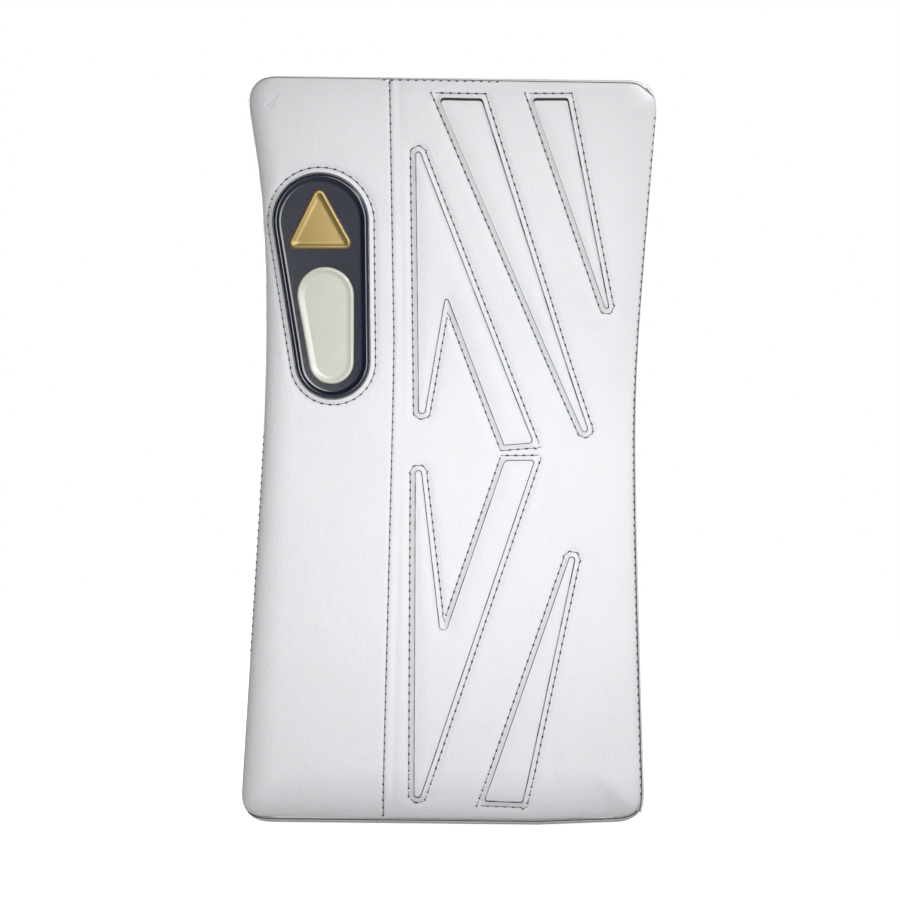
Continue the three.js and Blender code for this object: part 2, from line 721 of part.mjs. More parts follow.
// The strap is sewn to the little-finger wing, and its hook tape closes on the loop tape of the other.
function makeStrap() {
  const { low, high, thickness, tape } = STRAP;
  const start = block([HAND.centre, CUFF_FOOT + STRAP.start, -FAR], [FAR, FAR, FAR]);
  const end = block([-FAR, CUFF_FOOT + STRAP.end, -FAR], [HAND.centre, FAR, FAR]);
  const underTapes = block([-FAR, CUFF_FOOT + STRAP.end, -FAR], [WING_EDGE.thumb - 2, FAR, FAR]);
  const hookFrom = GAP + tape + GAP;
  const strapFrom = hookFrom + tape + GAP;
  const webbing = cuffSlice(strapFrom, strapFrom + thickness, low, high);
  add("strap", webbing.intersect(start.add(end)), WEBBING);
  const loop = cuffSlice(GAP, GAP + tape, low + 2, high - 2);
  add("strap_loop_tape", loop.intersect(underTapes), MESH);
  const hook = cuffSlice(hookFrom, hookFrom + tape, low + 4, high - 4);
  add("strap_hook_tape", hook.intersect(underTapes), WEBBING);
}

makeFace();
makeBadge();
makeBody();
makePalm();
makeFingers();
makeThumb();
makeEyelets();
makeLace(-1, "lace_thumb_side");
makeLace(1, "lace_little_side");
makeGuard();
makeCuff();
makeStrap();

blocker.position.y = -(DEPTH.underlay.front + DEPTH.core.back) / 2;

export default new THREE.Group().add(blocker);
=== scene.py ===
"""Looks of an ice-hockey goalkeeper's blocker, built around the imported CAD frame.

The board is drawn flat and then bent, as the real one is. A point of the flat board is (x, s, h) in
millimetres: x across, s along the leather from the wrist end, h out of the front face.
"""

import json
import math

import bmesh
import bpy
import numpy as np
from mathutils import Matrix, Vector, noise
from mathutils.geometry import delaunay_2d_cdt


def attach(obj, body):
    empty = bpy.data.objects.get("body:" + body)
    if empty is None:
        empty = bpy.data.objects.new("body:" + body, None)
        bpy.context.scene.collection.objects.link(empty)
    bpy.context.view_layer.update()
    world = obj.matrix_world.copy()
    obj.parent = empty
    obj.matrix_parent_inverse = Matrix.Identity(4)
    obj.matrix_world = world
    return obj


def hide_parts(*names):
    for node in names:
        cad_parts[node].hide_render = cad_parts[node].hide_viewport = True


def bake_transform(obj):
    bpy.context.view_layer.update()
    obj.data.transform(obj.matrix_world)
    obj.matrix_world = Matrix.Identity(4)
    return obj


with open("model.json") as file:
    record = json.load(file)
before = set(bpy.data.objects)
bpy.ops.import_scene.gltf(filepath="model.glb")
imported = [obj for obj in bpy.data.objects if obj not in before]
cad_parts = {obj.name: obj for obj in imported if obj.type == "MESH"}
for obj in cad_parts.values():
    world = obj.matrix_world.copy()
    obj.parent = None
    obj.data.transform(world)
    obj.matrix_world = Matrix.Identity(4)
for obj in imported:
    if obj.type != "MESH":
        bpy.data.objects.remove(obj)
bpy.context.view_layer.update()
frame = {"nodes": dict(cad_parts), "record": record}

MM = 0.001
NODES = frame["nodes"]
MOUNTS = {m["name"]: m for m in frame["record"]["mounts"]}

# ---------------------------------------------------------------- driving dimensions, in millimetres

FACE_Y = MOUNTS["front_face"]["pos_m"][1] / MM
LOW_END = -1
HIGH_END = 378
CORNER = 15
# Half widths of the padded board at its fullest, and how far up each side is narrowest.
THUMB_EDGE = {"bottom": 105, "waist": 95.2, "top": 101.5, "waist_at": 270, "high": HIGH_END}
LITTLE_EDGE = {"bottom": 99.6, "waist": 98.6, "top": 106, "waist_at": 200, "high": HIGH_END - 2}
LOW_SAG = (45, LOW_END - 1.4)  # the lower edge hangs lowest here
BEND_START = 186
BEND_RADIUS = 250
BEND_ARC = math.radians(16) * BEND_RADIUS

LEATHER = 1.2
# The edge seam on each side: how far inside the outline it lies, how far behind the flat face, the width
# over which the padded face curves back to it, and how round that curve is. The first is for the side's
# lower or thumb-side end, the second for its other end.
EDGE_SEAM = {
    "thumb": ((0.2, 8.6, 17, 1), (0.2, 7.6, 11.5, 1)),
    "little": ((2.1, 7.4, 13, 0.8), (0.6, 7.5, 22, 0.8)),
    "top": ((1.3, 4.6, 12, 1), (2.3, 4.6, 12, 1)),
    "bottom": ((2.8, 9.6, 26, 0.25), (2.8, 9.6, 26, 0.25)),
}
CORNER_SEAM = 1.9  # how much further in it lies round the upper corner on the little side
BAND_FULLEST = 9.5  # the side band is fullest this far behind the face
STITCH_AT = 2.4  # from a cut edge to its stitch line
STITCH_PITCH = 4.3
STITCH_LENGTH = 3.5
# The needle holes are near-black plugs at the stitches' ends, painted shade: their radius and heights.
HOLE_RADIUS = 0.5
HOLE_HEIGHTS = (0.08, -0.3)
CUT_LIFT = 0.45
STITCH_DIP = 0.5
# Where the edge seam isn't rolled under and its stitches are in sight: s on the sides, and x at the top.
EDGE_STITCHED = {"little": (14, 362), "thumb": (80, 196), "top": (-38, 26)}
SEAM = np.array([(-33, -5), (-28.2, 245), (-29.4, HIGH_END + 5)], float)
SEAM_GAP = 0.2
SEAM_VALLEY_AT = 4.6  # a soft valley in the main panel runs beside the seam

# The windows' corners are (x, s, radius), counter-clockwise.
WINDOWS = {
    "upper_fork": [
        (-16.8, 347, 1.6),
        (-15.8, 207, 1.8),
        (-12, 207, 1.8),
        (-1.2, 268, 0.8),
        (28.6, 190.4, 1),
        (44.4, 191.7, 1.8),
    ],
    "upper_wedge": [(-5, 366.2, 1.8), (84, 164.5, 1.75), (17, 365.8, 2)],
    "upper_point": [(41.8, 366, 1.5), (86.6, 245, 1.25), (59.9, 366, 1.5)],
    "lower_fork": [
        (-17.3, 208, 1.9),
        (-17.5, 2.2, 2.1),
        (45, 183.1, 1.5),
        (28.9, 183, 3),
        (-3.4, 89.9, 1.9),
    ],
    "lower_wedge": [(71.3, 159.5, 1.8), (17.6, 10.8, 1.5), (37.4, 10, 1.5)],
}
# Soft folds in the main panel, as (x, s) along each fold.
CREASES = [
    [(70.5, 248.8), (78.2, 250.3)],
    [(81.1, 203.8), (78.5, 193.4), (65.5, 188.2), (54, 184), (49.7, 167.4), (47, 152)],
    [(73.4, 131.5), (64.2, 86.1), (56.2, 51.3), (50.8, 21.8)],
]
# Short sharp marks of wear.
SCUFFS = [
    [(-91.6, 362.4), (-88.8, 364.2), (-86, 366.6)],
    [(-89.6, 361.4), (-87.4, 363)],
]

INLAY_GAP = 0.45  # open groove between a cut edge and its inlay
INLAY_SHORT = 0.8  # the two longest inlays end this far short of their windows' top edge
INLAY_UNDER = 3.2  # how far an inlay reaches under the face
INLAY_THICK = 0.7
INLAY_SUNK = -2.1  # the face's underside, where an inlay's margin lies
BADGE_GAP = 0.8  # between the badge and the strip it sits in
# Capsules as (top, radius, bottom, radius), and a triangle's corners as (x, s, radius).
BADGE_BASE = ((-65, 305), 24, (-60, 234), 19)
BADGE_BAR = ((-63, 268), 14.5, (-60.5, 234), 11.5)
BADGE_DELTA = [(-65.5, 324.5, 3), (-83, 291.5, 3), (-47.5, 291.5, 3)]

BOARD = 25.8  # from the face to the back panel's outer surface
BACK = FACE_Y + BOARD  # y of that surface, where the board is flat
# The edge binding in section, as (inset, depth behind the face).
BINDING = [(0.9, 22.2), (0.35, 23.6), (0.5, 25.2), (1.6, 26.8), (3.6, 27.6), (6, 27.5), (7.8, 26.6)]
BINDING += [(8.1, 25.9), (6, 26), (3.4, 25.9), (1.9, 24.9), (1.5, 23.4), (1.6, 22.2)]

HAND_CENTRE = 8
PALM = {"half": 50, "foot": BACK + 0.5, "top": 53.4, "low": 104, "high": 209, "corner": 24, "wall": 2}
PALM_CUT = 40  # degrees by which its leather is cut back on the palm side, where the fingers fold
HOLLOW = {"deep": 2.2, "at": 150, "width": 26}  # the hollow in the middle of the palm
PATCH = {"half": 31, "low": 112, "high": 172, "margin": 2.6}  # the patch over the palm
FLANGE = {"edge": 62, "low": 104.2, "high": 184}
EYELET_ROWS = [111 + 19.2 * i for i in range(4)]
LACE_ROWS = [row + 9.6 for row in EYELET_ROWS]
EYELET_OUT = 56.5  # from the middle of the hand
# An eyelet in section, as (radius, height above the board's back).
EYELET = [(2.3, 0.2), (2.25, 1.9), (2.6, 2.6), (3.4, 2.8), (4.1, 2.5), (4.3, 2.1), (2.8, 2), (2.7, 0.2)]
LACE_OUT = 68
PAD = {"half": 44.5, "low": 106, "high": 184, "corner": 9}
PAD_SECTION = ((4, 13.6), (0.8, 14.2), (0, 16), (1.2, 18), (6, 18.9))  # its edge, as (inset, y)

KNUCKLE_Y = 34.7
KNUCKLE_Z = 210
FINGERS = {  # x, length of the base, length of the tip
    "index": (-28.3, 40, 36),
    "middle": (-4.1, 44, 40),
    "ring": (20.1, 41, 37),
    "little": (44.3, 33, 29),
}
FINGER_HALF = (11.5, 12.8)
WEB_HOLE = (10.6, 12.6)  # half sizes of the oval that a finger leaves in the web between the fingers
WEB_Z = 187.5  # its height
FINGER_LEAN = (14, 36)  # degrees towards the palm side, of the base and the tip
THUMB_AXIS = np.array([(-26, 37.1, 118), (-58, 38.1, 149)], float)  # from inside the palm to its joint
THUMB_LENGTHS = (32, 34)
THUMB_LEAN = (6, 20)
THUMB_OUT = 9  # degrees towards the thumb side
THUMB_RADIUS = 13.2
THUMB_ACROSS = np.array((1, 0, 0.16)) / math.hypot(1, 0.16)

GUARD = {"outer": -95.8, "inner": -86.8, "low": 112, "high": 292, "reach": 72.9, "gap": 3.4}
GUARD_SPINE = [(44, 142), (43, 232), (36, 262)]  # the seam down it, as (y, z)
GUARD_HINGE = (124, 284)  # it is joined to the board between these heights
GUARD_BEND = ((-84, 14, 200), (-87, 20, 200))  # the leather of that joint bends between these points
CUFF = {"half": 68, "foot": 16.9, "height": 58, "corner": 34, "wall": 7, "low": 22, "high": 98}
CUFF_OPEN = (-24, 36)  # its wings end at these x, and leave the wrist free between them
# The wings' root leathers, the mesh sleeve and the strap run between these heights.
CUFF_ROOT = (27, 93)
SLEEVE = (26, 102.5)
STRAP = (48, 92)
QUILTING = (36, 60, 84)  # heights of the channels round the cuff

SWELL_PRESSURE = 4  # blows the padded pieces up as cloth
SWELL_FRAMES = 20

CAMERA = {"place": (0.8, FACE_Y - 594.67, 119.21), "pitch": 6.6176, "lens": 46.28}

# How finely the meshes follow the face: distances of the rings of points round its cut-outs, inside its
# edge and beside its seam.
RING_OFFSETS = (0.5, 1.2, STITCH_AT - 0.5, STITCH_AT, STITCH_AT + 0.5, 3.5, 4.3, 5.2)
EDGE_OFFSETS = (0.4, 0.9, 1.6, 2.6, 3.8, 5.2, 7, 9, 11.5)
SEAM_OFFSETS = (0.45, 0.9, 1.4, 2.2, 3, 3.8, 4.6, 5.4, 6.4)
SEAM_STEP = 1.8  # between the points of the edge seam and of the face's seam
SLIVER = 5e-4  # a smaller triangle, in square mm, only joins points of one straight edge
# Along a stitch's thread, as shares of its length, with the lift in mm and the thickness as a share.
STITCH_STATIONS = [(-0.5, -0.35, 0.3), (-0.42, 0.02, 0.85), (-0.2, 0.16, 1), (0.2, 0.16, 1)]
STITCH_STATIONS += [(0.42, 0.02, 0.85), (0.5, -0.35, 0.3)]

# ---------------------------------------------------------------- curves in the plane


def gauss(distance, width):
    return np.exp(-((distance / width) ** 2))


def full_turn(count):
    """Evenly spaced angles round a circle."""
    return np.linspace(0, 2 * math.pi, count, endpoint=False)


def arc(centre, radius, start, end, clockwise, step):
    """Points of an arc between two angles."""
    turn = (end - start) % (2 * math.pi)
    if clockwise:
        turn -= 2 * math.pi
    count = max(4, math.ceil(abs(turn) * radius / step))
    angles = start + turn * np.linspace(0, 1, count + 1)
    return centre + radius * np.stack([np.cos(angles), np.sin(angles)], 1)


def unit(v):
    return v / np.linalg.norm(v)


def rounded_polygon(corners, step=1.2):
    """A closed loop of points along a polygon with rounded corners."""
    points = []
    for i, (x, s, radius) in enumerate(corners):
        corner = np.array((x, s), float)
        before = unit(np.array(corners[i - 1][:2], float) - corner)
        after = unit(np.array(corners[(i + 1) % len(corners)][:2], float) - corner)
        half = math.acos(np.clip(before @ after, -1, 1)) / 2
        centre = corner + unit(before + after) * radius / math.sin(half)
        reach = radius / math.tan(half)
        start = corner + before * reach - centre
        end = corner + after * reach - centre
        reflex = before[0] * after[1] - before[1] * after[0] > 0
        turn = [math.atan2(v[1], v[0]) for v in (start, end)]
        points.append(arc(centre, radius, *turn, reflex, min(step, 0.5)))
    return resampled(np.concatenate(points), step)


def offset(corners, distance):
    """The same corners moved outwards by a distance, or inwards if it is negative."""
    moved = []
    for i, (x, s, radius) in enumerate(corners):
        here = np.array((x, s), float)
        along = unit(here - np.array(corners[i - 1][:2], float))
        onward = unit(np.array(corners[(i + 1) % len(corners)][:2], float) - here)
        scale = distance / (1 + along @ onward)
        reflex = along[0] * onward[1] - along[1] * onward[0] < 0
        kept = max(radius - distance if reflex else radius + distance, 0.3)
        moved.append((x + (along[1] + onward[1]) * scale, s - (along[0] + onward[0]) * scale, kept))
    return moved


def stitch_line(corners):
    """The line of stitches round a window: round at its narrow tips, and square at its wide corners."""
    moved = []
    for i, (x, s, radius) in enumerate(offset(corners, STITCH_AT)):
        neighbours = corners[i - 1], corners[(i + 1) % len(corners)]
        end = min(math.dist(other[:2], corners[i][:2]) for other in neighbours)
        square = 10 < end < 25
        moved.append((x, s, 0.8 if square else radius))
    return rounded_polygon(moved)


def resampled(loop, step, closed=True):
    """The loop with extra points on its long stretches."""
    ends = np.roll(loop, -1, 0) if closed else loop[1:]
    out = []
    for a, b in zip(loop, ends):
        count = max(1, math.ceil(np.linalg.norm(b - a) / step))
        out.append(a + (b - a) * np.arange(count)[:, None] / count)
    if not closed:
        out.append(loop[-1:])
    return np.concatenate(out)


def walk(loop, pitch, closed=True):
    """Points and directions at an even pitch along a loop."""
    ends = np.roll(loop, -1, 0) if closed else loop[1:]
    starts = loop if closed else loop[:-1]
    lengths = np.linalg.norm(ends - starts, axis=1)
    reached = np.concatenate([[0], np.cumsum(lengths)])
    count = max(1, round(reached[-1] / pitch))
    at = (np.arange(count) + 0.5) * reached[-1] / count
    i = np.clip(np.searchsorted(reached, at, "right") - 1, 0, len(starts) - 1)
    share = ((at - reached[i]) / lengths[i])[:, None]
    points = starts[i] + (ends[i] - starts[i]) * share
    return points, (ends[i] - starts[i]) / lengths[i][:, None]


def distance_to(points, line, closed=True):
    """Distance from each point to a line of segments."""
    a = line if closed else line[:-1]
    b = np.roll(line, -1, 0) if closed else line[1:]
    ab = b - a
    best = np.full(len(points), 1e9)
    for chunk in range(0, len(points), 4000):
        p = points[chunk : chunk + 4000, None, :]
        t = np.clip(((p - a) * ab).sum(2) / (ab * ab).sum(1), 0, 1)
        gap = p - (a + t[..., None] * ab)
        best[chunk : chunk + 4000] = np.sqrt((gap * gap).sum(2).min(1))
    return best


def inside(points, loop):
    """Which points lie inside a closed loop."""
    result = np.zeros(len(points), bool)
    x, y = points[:, 0], points[:, 1]
    for (ax, ay), (bx, by) in zip(loop, np.roll(loop, -1, 0)):
        crosses = (ay > y) != (by > y)
        if ay != by:
            result ^= crosses & (x < (bx - ax) * (y - ay) / (by - ay) + ax)
    return result


def outside_by(points, loop):
    """Distance outside a loop, negative inside."""
    gap = distance_to(points, loop)
    return np.where(inside(points, loop), -gap, gap)


def quadratic(a, b, c, count=12):
    t = np.linspace(0, 1, count)[:, None]
    return (1 - t) ** 2 * a + 2 * t * (1 - t) * b + t**2 * c


def side_curve(low, waist, high):
    """A Catmull-Rom curve through the three points of a long edge, without its two ends."""
    t = np.linspace(0, 1, 30)[1:, None]
    halves = []
    for a, b, c, d in ((low, low, waist, high), (low, waist, high, high)):
        v0, v1 = (c - a) / 2, (d - b) / 2
        curve = (2 * b - 2 * c + v0 + v1) * t**3 + (3 * c - 3 * b - 2 * v0 - v1) * t**2 + v0 * t + b
        halves.append(curve)
    return np.concatenate(halves)[:-1]


def board_outline(step):
    """The flat board at its fullest, seen from the front."""
    corners = []
    for side, edge in ((1, LITTLE_EDGE), (-1, THUMB_EDGE)):
        low = np.array((side * edge["bottom"], LOW_END))
        waist = np.array((side * edge["waist"], edge["waist_at"]))
        high = np.array((side * edge["top"], edge["high"]))
        along, across = np.array((0, CORNER)), np.array((side * CORNER, 0))
        corners.append(
            [
                quadratic(low - across, low, low + along),
                side_curve(low + along, waist, high - along),
                quadratic(high - along, high, high - across),
            ]
        )
    little_side = np.concatenate(corners[0])
    thumb_side = np.concatenate(corners[1])[::-1]
    return resampled(np.concatenate([[LOW_SAG], little_side, thumb_side]), step)


def edge_seam(loop, outward):
    """The edge seam's four numbers at points of the board's outline."""
    across, along = outward.T[:, :, None]
    up, right = np.clip(loop[:, 1:] / HIGH_END, 0, 1), np.clip(loop[:, :1] / 200 + 0.5, 0, 1)
    shape = 0
    for side, facing, share in (
        ("thumb", -across, up),
        ("little", across, up),
        ("top", along, right),
        ("bottom", -along, right),
    ):
        first, last = np.array(EDGE_SEAM[side])
        shape = shape + np.maximum(facing, 0) ** 2 * (first + (last - first) * share)
    at_corner = 4 * np.maximum(across, 0) ** 2 * np.maximum(along, 0) ** 2
    return shape + at_corner * (CORNER_SEAM, 0, 0, 0)


def board_edge(step):
    """The board's outline with the direction that faces out at each of its points."""
    loop = board_outline(step)
    onward = np.roll(loop, -1, 0) - np.roll(loop, 1, 0)
    onward /= np.linalg.norm(onward, axis=1)[:, None]
    return loop, np.stack([onward[:, 1], -onward[:, 0]], 1)


def inset_board(inset, step):
    """The board's outline further in."""
    loop, outward = board_edge(step)
    return loop - outward * inset


def seam_loop(inset=0.0):
    """The face's edge seam, or the same line further in."""
    loop, outward = board_edge(SEAM_STEP)
    return loop - outward * (edge_seam(loop, outward)[:, :1] + inset)


def tapered_capsule(capsule, grow=0.0, step=1.2):
    """A capsule's outline, grown by a distance."""
    top, top_radius, bottom, bottom_radius = capsule
    run = np.array(top, float) - np.array(bottom, float)
    lean = math.atan2(run[1], run[0])
    flare = math.acos((bottom_radius - top_radius) / np.linalg.norm(run))
    low = arc(np.array(bottom), bottom_radius + grow, lean + flare, lean - flare, False, 0.6)
    high = arc(np.array(top), top_radius + grow, lean - flare, lean + flare, False, 0.6)
    return resampled(np.concatenate([low, high]), step)


def badge_hole(further=0.0):
    """The strip's cut-out round the badge, or a loop further out from it."""
    return tapered_capsule(BADGE_BASE, BADGE_GAP + further)


FACE_EDGE = seam_loop()
FACE_EDGE_SHAPE = edge_seam(*board_edge(SEAM_STEP))
WINDOW_LOOPS = {name: rounded_polygon(corners) for name, corners in WINDOWS.items()}

# ---------------------------------------------------------------- meshes


def bent(points):
    """(x, s, h) points of the flat board, in metres in the row frame."""
    x, s, h = np.asarray(points, float).T
    along = np.clip(s - BEND_START, 0, None)
    angle = np.minimum(along, BEND_ARC) / BEND_RADIUS
    beyond = np.clip(along - BEND_ARC, 0, None)
    radius = BEND_RADIUS - h
    y = radius * np.cos(angle) - BEND_RADIUS - beyond * np.sin(angle)
    z = np.minimum(s, BEND_START) + radius * np.sin(angle) + beyond * np.cos(angle)
    return np.stack([x, y + FACE_Y, z], 1) * MM


def make_object(name, verts, faces, materials, sharp=40):
    """A mesh object with smooth faces, and sharp edges above an angle."""
    mesh = bpy.data.meshes.new(name)
    mesh.from_pydata([tuple(v) for v in verts], [], [tuple(f) for f in faces])
    mesh.validate()
    mesh.update()
    for m in materials:
        mesh.materials.append(m)
    mesh.shade_smooth()
    mesh.set_sharp_from_angle(angle=math.radians(sharp))
    obj = bpy.data.objects.new(name, mesh)
    bpy.context.scene.collection.objects.link(obj)
    return obj


def triangulated(loops, extra):
    """Triangles over a flat region: the first loop is its edge, and the others are holes."""
    verts = np.concatenate([*loops, extra])
    edges, start = [], 0
    for loop in loops:
        edges += [(start + i, start + (i + 1) % len(loop)) for i in range(len(loop))]
        start += len(loop)
    made = delaunay_2d_cdt([Vector(v) for v in verts], edges, [], 0, 1e-7)
    source = np.array([ids[0] if ids else -1 for ids in made[3]])
    if (source < 0).any():
        raise ValueError("two of the loops cross")
    faces = source[np.array(made[2])]
    middles = verts[faces].mean(1)
    areas = np.abs(np.linalg.det(verts[faces[:, 1:]] - verts[faces[:, :1]])) / 2
    keep = inside(middles, loops[0]) & (areas > SLIVER)
    for hole in loops[1:]:
        keep &= ~inside(middles, hole)
    return faces[keep]


def thinned(groups, taken):
    """The groups' points in order, without those too near to an earlier one. A group is (points, space)."""
    cell = 1.0
    cells = {}

    def near(p, space):
        reach = math.ceil(space / cell)
        cx, cy = int(p[0] // cell), int(p[1] // cell)
        for i in range(cx - reach, cx + reach + 1):
            for j in range(cy - reach, cy + reach + 1):
                for q in cells.get((i, j), ()):
                    if (p[0] - q[0]) ** 2 + (p[1] - q[1]) ** 2 < space * space:
                        return True
        return False

    def put(p):
        cells.setdefault((int(p[0] // cell), int(p[1] // cell)), []).append(p)

    for p in taken.tolist():
        put(p)
    kept = []
    for points, space in groups:
        for p in points.tolist():
            if not near(p, space):
                put(p)
                kept.append(p)
    return np.array(kept)


def hex_grid(loop, spacing):
    (x0, y0), (x1, y1) = loop.min(0), loop.max(0)
    rows = np.arange(y0, y1, spacing * 0.866)
    columns = np.arange(x0, x1, spacing)
    return np.array([(x + (i % 2) * spacing / 2, y) for i, y in enumerate(rows) for x in columns])


def well_inside(points, loops, margin):
    keep = outside_by(points, loops[0]) < -margin
    for hole in loops[1:]:
        keep &= outside_by(points, hole) > margin
    return points[keep]


def walls_below(loops, drop):
    """Faces between the points of some loops and the points that come a number of places later."""
    faces, start = [], 0
    for loop in loops:
        for i in range(len(loop)):
            a, b = start + i, start + (i + 1) % len(loop)
            faces.append((a, a + drop, b + drop, b))
        start += len(loop)
    return faces


def sheet(name, loops, extra, height, thickness, materials, low_spacing=9, floor=None, dark=None):
    """A closed sheet over a flat region with holes, bent with the board.

    A floor makes it level below. Its walls, and the top faces that dark picks, get the last material; on the
    face and inlays that is the near-black one, painted shade.
    """
    edge = np.concatenate(loops)
    coarse = well_inside(hex_grid(loops[0], low_spacing), loops, 2)
    top_count = len(edge) + len(extra)
    flat = np.concatenate([edge, extra, edge, coarse])
    lifted = height(flat)
    lifted[top_count:] = lifted[top_count:] - thickness if floor is None else floor
    verts = bent(np.column_stack([flat, lifted]))
    top = triangulated(loops, extra)
    low = triangulated(loops, coarse)[:, ::-1] + top_count
    faces = [*top.tolist(), *low.tolist(), *walls_below(loops, top_count)]
    obj = make_object(name, verts, faces, materials)
    slots = np.zeros(len(faces), np.int32)
    slots[len(top) + len(low) :] = len(materials) - 1
    if dark:
        slots[: len(top)] = dark(flat[:top_count])[top].any(1)
    obj.data.polygons.foreach_set("material_index", slots)
    return facing_out(obj)


def level_sheet(name, loops, extra, level, thickness, materials):
    """A flat closed sheet over a region of the x-y plane with holes, at a height z."""
    flat = np.concatenate([*loops, extra])
    top = triangulated(loops, extra)
    verts = [np.column_stack([flat, np.full(len(flat), z)]) for z in (level, level - thickness)]
    faces = [*top.tolist(), *(top[:, ::-1] + len(flat)).tolist(), *walls_below(loops, len(flat))]
    return facing_out(make_object(name, np.concatenate(verts) * MM, faces, materials))


def facing_out(obj):
    mesh = bmesh.new()
    mesh.from_mesh(obj.data)
    bmesh.ops.recalc_face_normals(mesh, faces=mesh.faces)
    mesh.to_mesh(obj.data)
    mesh.free()
    return obj


def placed(obj, slot=None, node=None, body="board"):
    """Puts a piece on its body, and hides the CAD node that it stands for. slot, a material slot of the
    record, is not used.
    """
    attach(obj, body)
    if node:
        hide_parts(node)
    return obj


def loft(name, rings, materials, cap=True, sharp=40):
    """A solid through rings of equally many points, closed at both ends, or round on itself."""
    count, n = len(rings), len(rings[0])
    verts = np.concatenate(rings)
    faces = []
    for k in range(count - (1 if cap else 0)):
        for i in range(n):
            j = (i + 1) % n
            m = (k + 1) % count
            faces.append((k * n + i, k * n + j, m * n + j, m * n + i))
    if cap:
        faces += [tuple(range(n))[::-1], tuple(range((count - 1) * n, count * n))]
    return facing_out(make_object(name, verts, faces, materials, sharp))


# ---------------------------------------------------------------- materials


class Nodes:
    """A node tree with short ways to add and link nodes."""

    def __init__(self, material):
        material.use_nodes = True
        self.tree = material.node_tree
        self.shader = self.tree.nodes["Principled BSDF"]
        self.coords = self.add("ShaderNodeTexCoord").outputs["Object"]

    def add(self, kind, **values):
        node = self.tree.nodes.new(kind)
        for key, value in values.items():
            if hasattr(node, key):
                setattr(node, key, value)
            else:
                node.inputs[key.replace("_", " ")].default_value = value
        return node

    def link(self, output, target):
        self.tree.links.new(output, target)

    def noise(self, scale, detail=3.0, roughness=0.55, stretch=None):
        node = self.add("ShaderNodeTexNoise", Scale=scale, Detail=detail, Roughness=roughness)
        self.link(self.scaled(stretch) if stretch else self.coords, node.inputs["Vector"])
        return node.outputs["Fac"]

    def scaled(self, factors):
        node = self.add("ShaderNodeMapping")
        node.inputs["Scale"].default_value = factors
        self.link(self.coords, node.inputs["Vector"])
        return node.outputs["Vector"]

    def cells(self, scale):
        node = self.add("ShaderNodeTexVoronoi", Scale=scale)
        self.link(self.coords, node.inputs["Vector"])
        return node.outputs["Distance"]

    def wave(self, scale, direction):
        node = self.add("ShaderNodeTexWave", bands_direction=direction, Scale=scale, Distortion=0.6)
        self.link(self.coords, node.inputs["Vector"])
        return node.outputs["Fac"]

    def math(self, operation, a, b):
        node = self.add("ShaderNodeMath", operation=operation)
        for value, target in zip((a, b), node.inputs):
            if isinstance(value, (int, float)):
                target.default_value = value
            else:
                self.link(value, target)
        return node.outputs[0]

    def colour(self, factor, dark, light):
        node = self.add("ShaderNodeMix", data_type="RGBA")
        node.inputs["A"].default_value = (*dark, 1)
        node.inputs["B"].default_value = (*light, 1)
        self.link(factor, node.inputs["Factor"])
        self.link(node.outputs["Result"], self.shader.inputs["Base Color"])
        return node

    def between(self, factor, low, high, target):
        node = self.add("ShaderNodeMapRange")
        node.inputs["To Min"].default_value = low
        node.inputs["To Max"].default_value = high
        self.link(factor, node.inputs["Value"])
        self.link(node.outputs["Result"], self.shader.inputs[target])

    def bump(self, *layers):
        """Bump from (height, depth in millimetres) pairs, one on another."""
        normal = None
        for height, depth in layers:
            node = self.add("ShaderNodeBump", Distance=depth * MM, Strength=1.0)
            self.link(height, node.inputs["Height"])
            if normal:
                self.link(normal, node.inputs["Normal"])
            normal = node.outputs["Normal"]
        self.link(normal, self.shader.inputs["Normal"])


def shades(colour, spread):
    """A darker and a lighter shade of a colour."""
    return [c * (1 - spread) for c in colour], [min(1, c * (1 + spread)) for c in colour]


def leather(name, colour, grain=620, depth=0.085, roughness=(0.40, 0.60), spread=0.025, specular=0.4):
    """Smooth coated leather: fine pebble grain, soft stretch marks and slightly uneven tone."""
    material = bpy.data.materials.new(name)
    nodes = Nodes(material)
    nodes.colour(nodes.noise(28, 6), *shades(colour, spread))
    nodes.between(nodes.noise(160), *roughness, "Roughness")
    nodes.shader.inputs["Specular IOR Level"].default_value = specular
    creases, waves = nodes.noise(240, 6, 0.7), nodes.noise(45, 5)
    nodes.bump((nodes.cells(grain), depth), (creases, depth * 2), (waves, depth * 5))
    return material


def woven(name, colour, pitch, depth=0.12, spread=0.25):
    """Plain-weave cloth with a pitch in millimetres, seen on x and z, and on y round the sides."""
    material = bpy.data.materials.new(name)
    nodes = Nodes(material)
    scale = math.pi / 10 / (pitch * MM)
    warp = nodes.math("MAXIMUM", nodes.wave(scale, "X"), nodes.wave(scale, "Y"))
    weave = nodes.math("MULTIPLY", warp, nodes.wave(scale, "Z"))
    nodes.colour(weave, *shades(colour, spread))
    nodes.shader.inputs["Roughness"].default_value = 0.8
    nodes.shader.inputs["Sheen Weight"].default_value = 0.15
    nodes.bump((weave, depth), (nodes.noise(90), depth))
    return material


def moulded(name, colour, roughness, metallic=0.0, coat=0.0):
    """Moulded plastic or plated metal with fine scratches."""
    material = bpy.data.materials.new(name)
    nodes = Nodes(material)
    nodes.colour(nodes.noise(40, 4), *shades(colour, 0.08))
    nodes.between(nodes.noise(300, stretch=(1, 1, 6)), roughness * 0.8, roughness * 1.3, "Roughness")
    nodes.shader.inputs["Metallic"].default_value = metallic
    nodes.shader.inputs["Coat Weight"].default_value = coat
    nodes.bump((nodes.noise(500, 6), 0.02))
    return material


def foam(name, colour, cell=1.2):
    """Closed-cell foam."""
    material = bpy.data.materials.new(name)
    nodes = Nodes(material)
    cells = nodes.cells(1000 / cell)
    nodes.colour(cells, *shades(colour, 0.15))
    nodes.shader.inputs["Roughness"].default_value = 0.95
    nodes.bump((cells, 0.15))
    return material


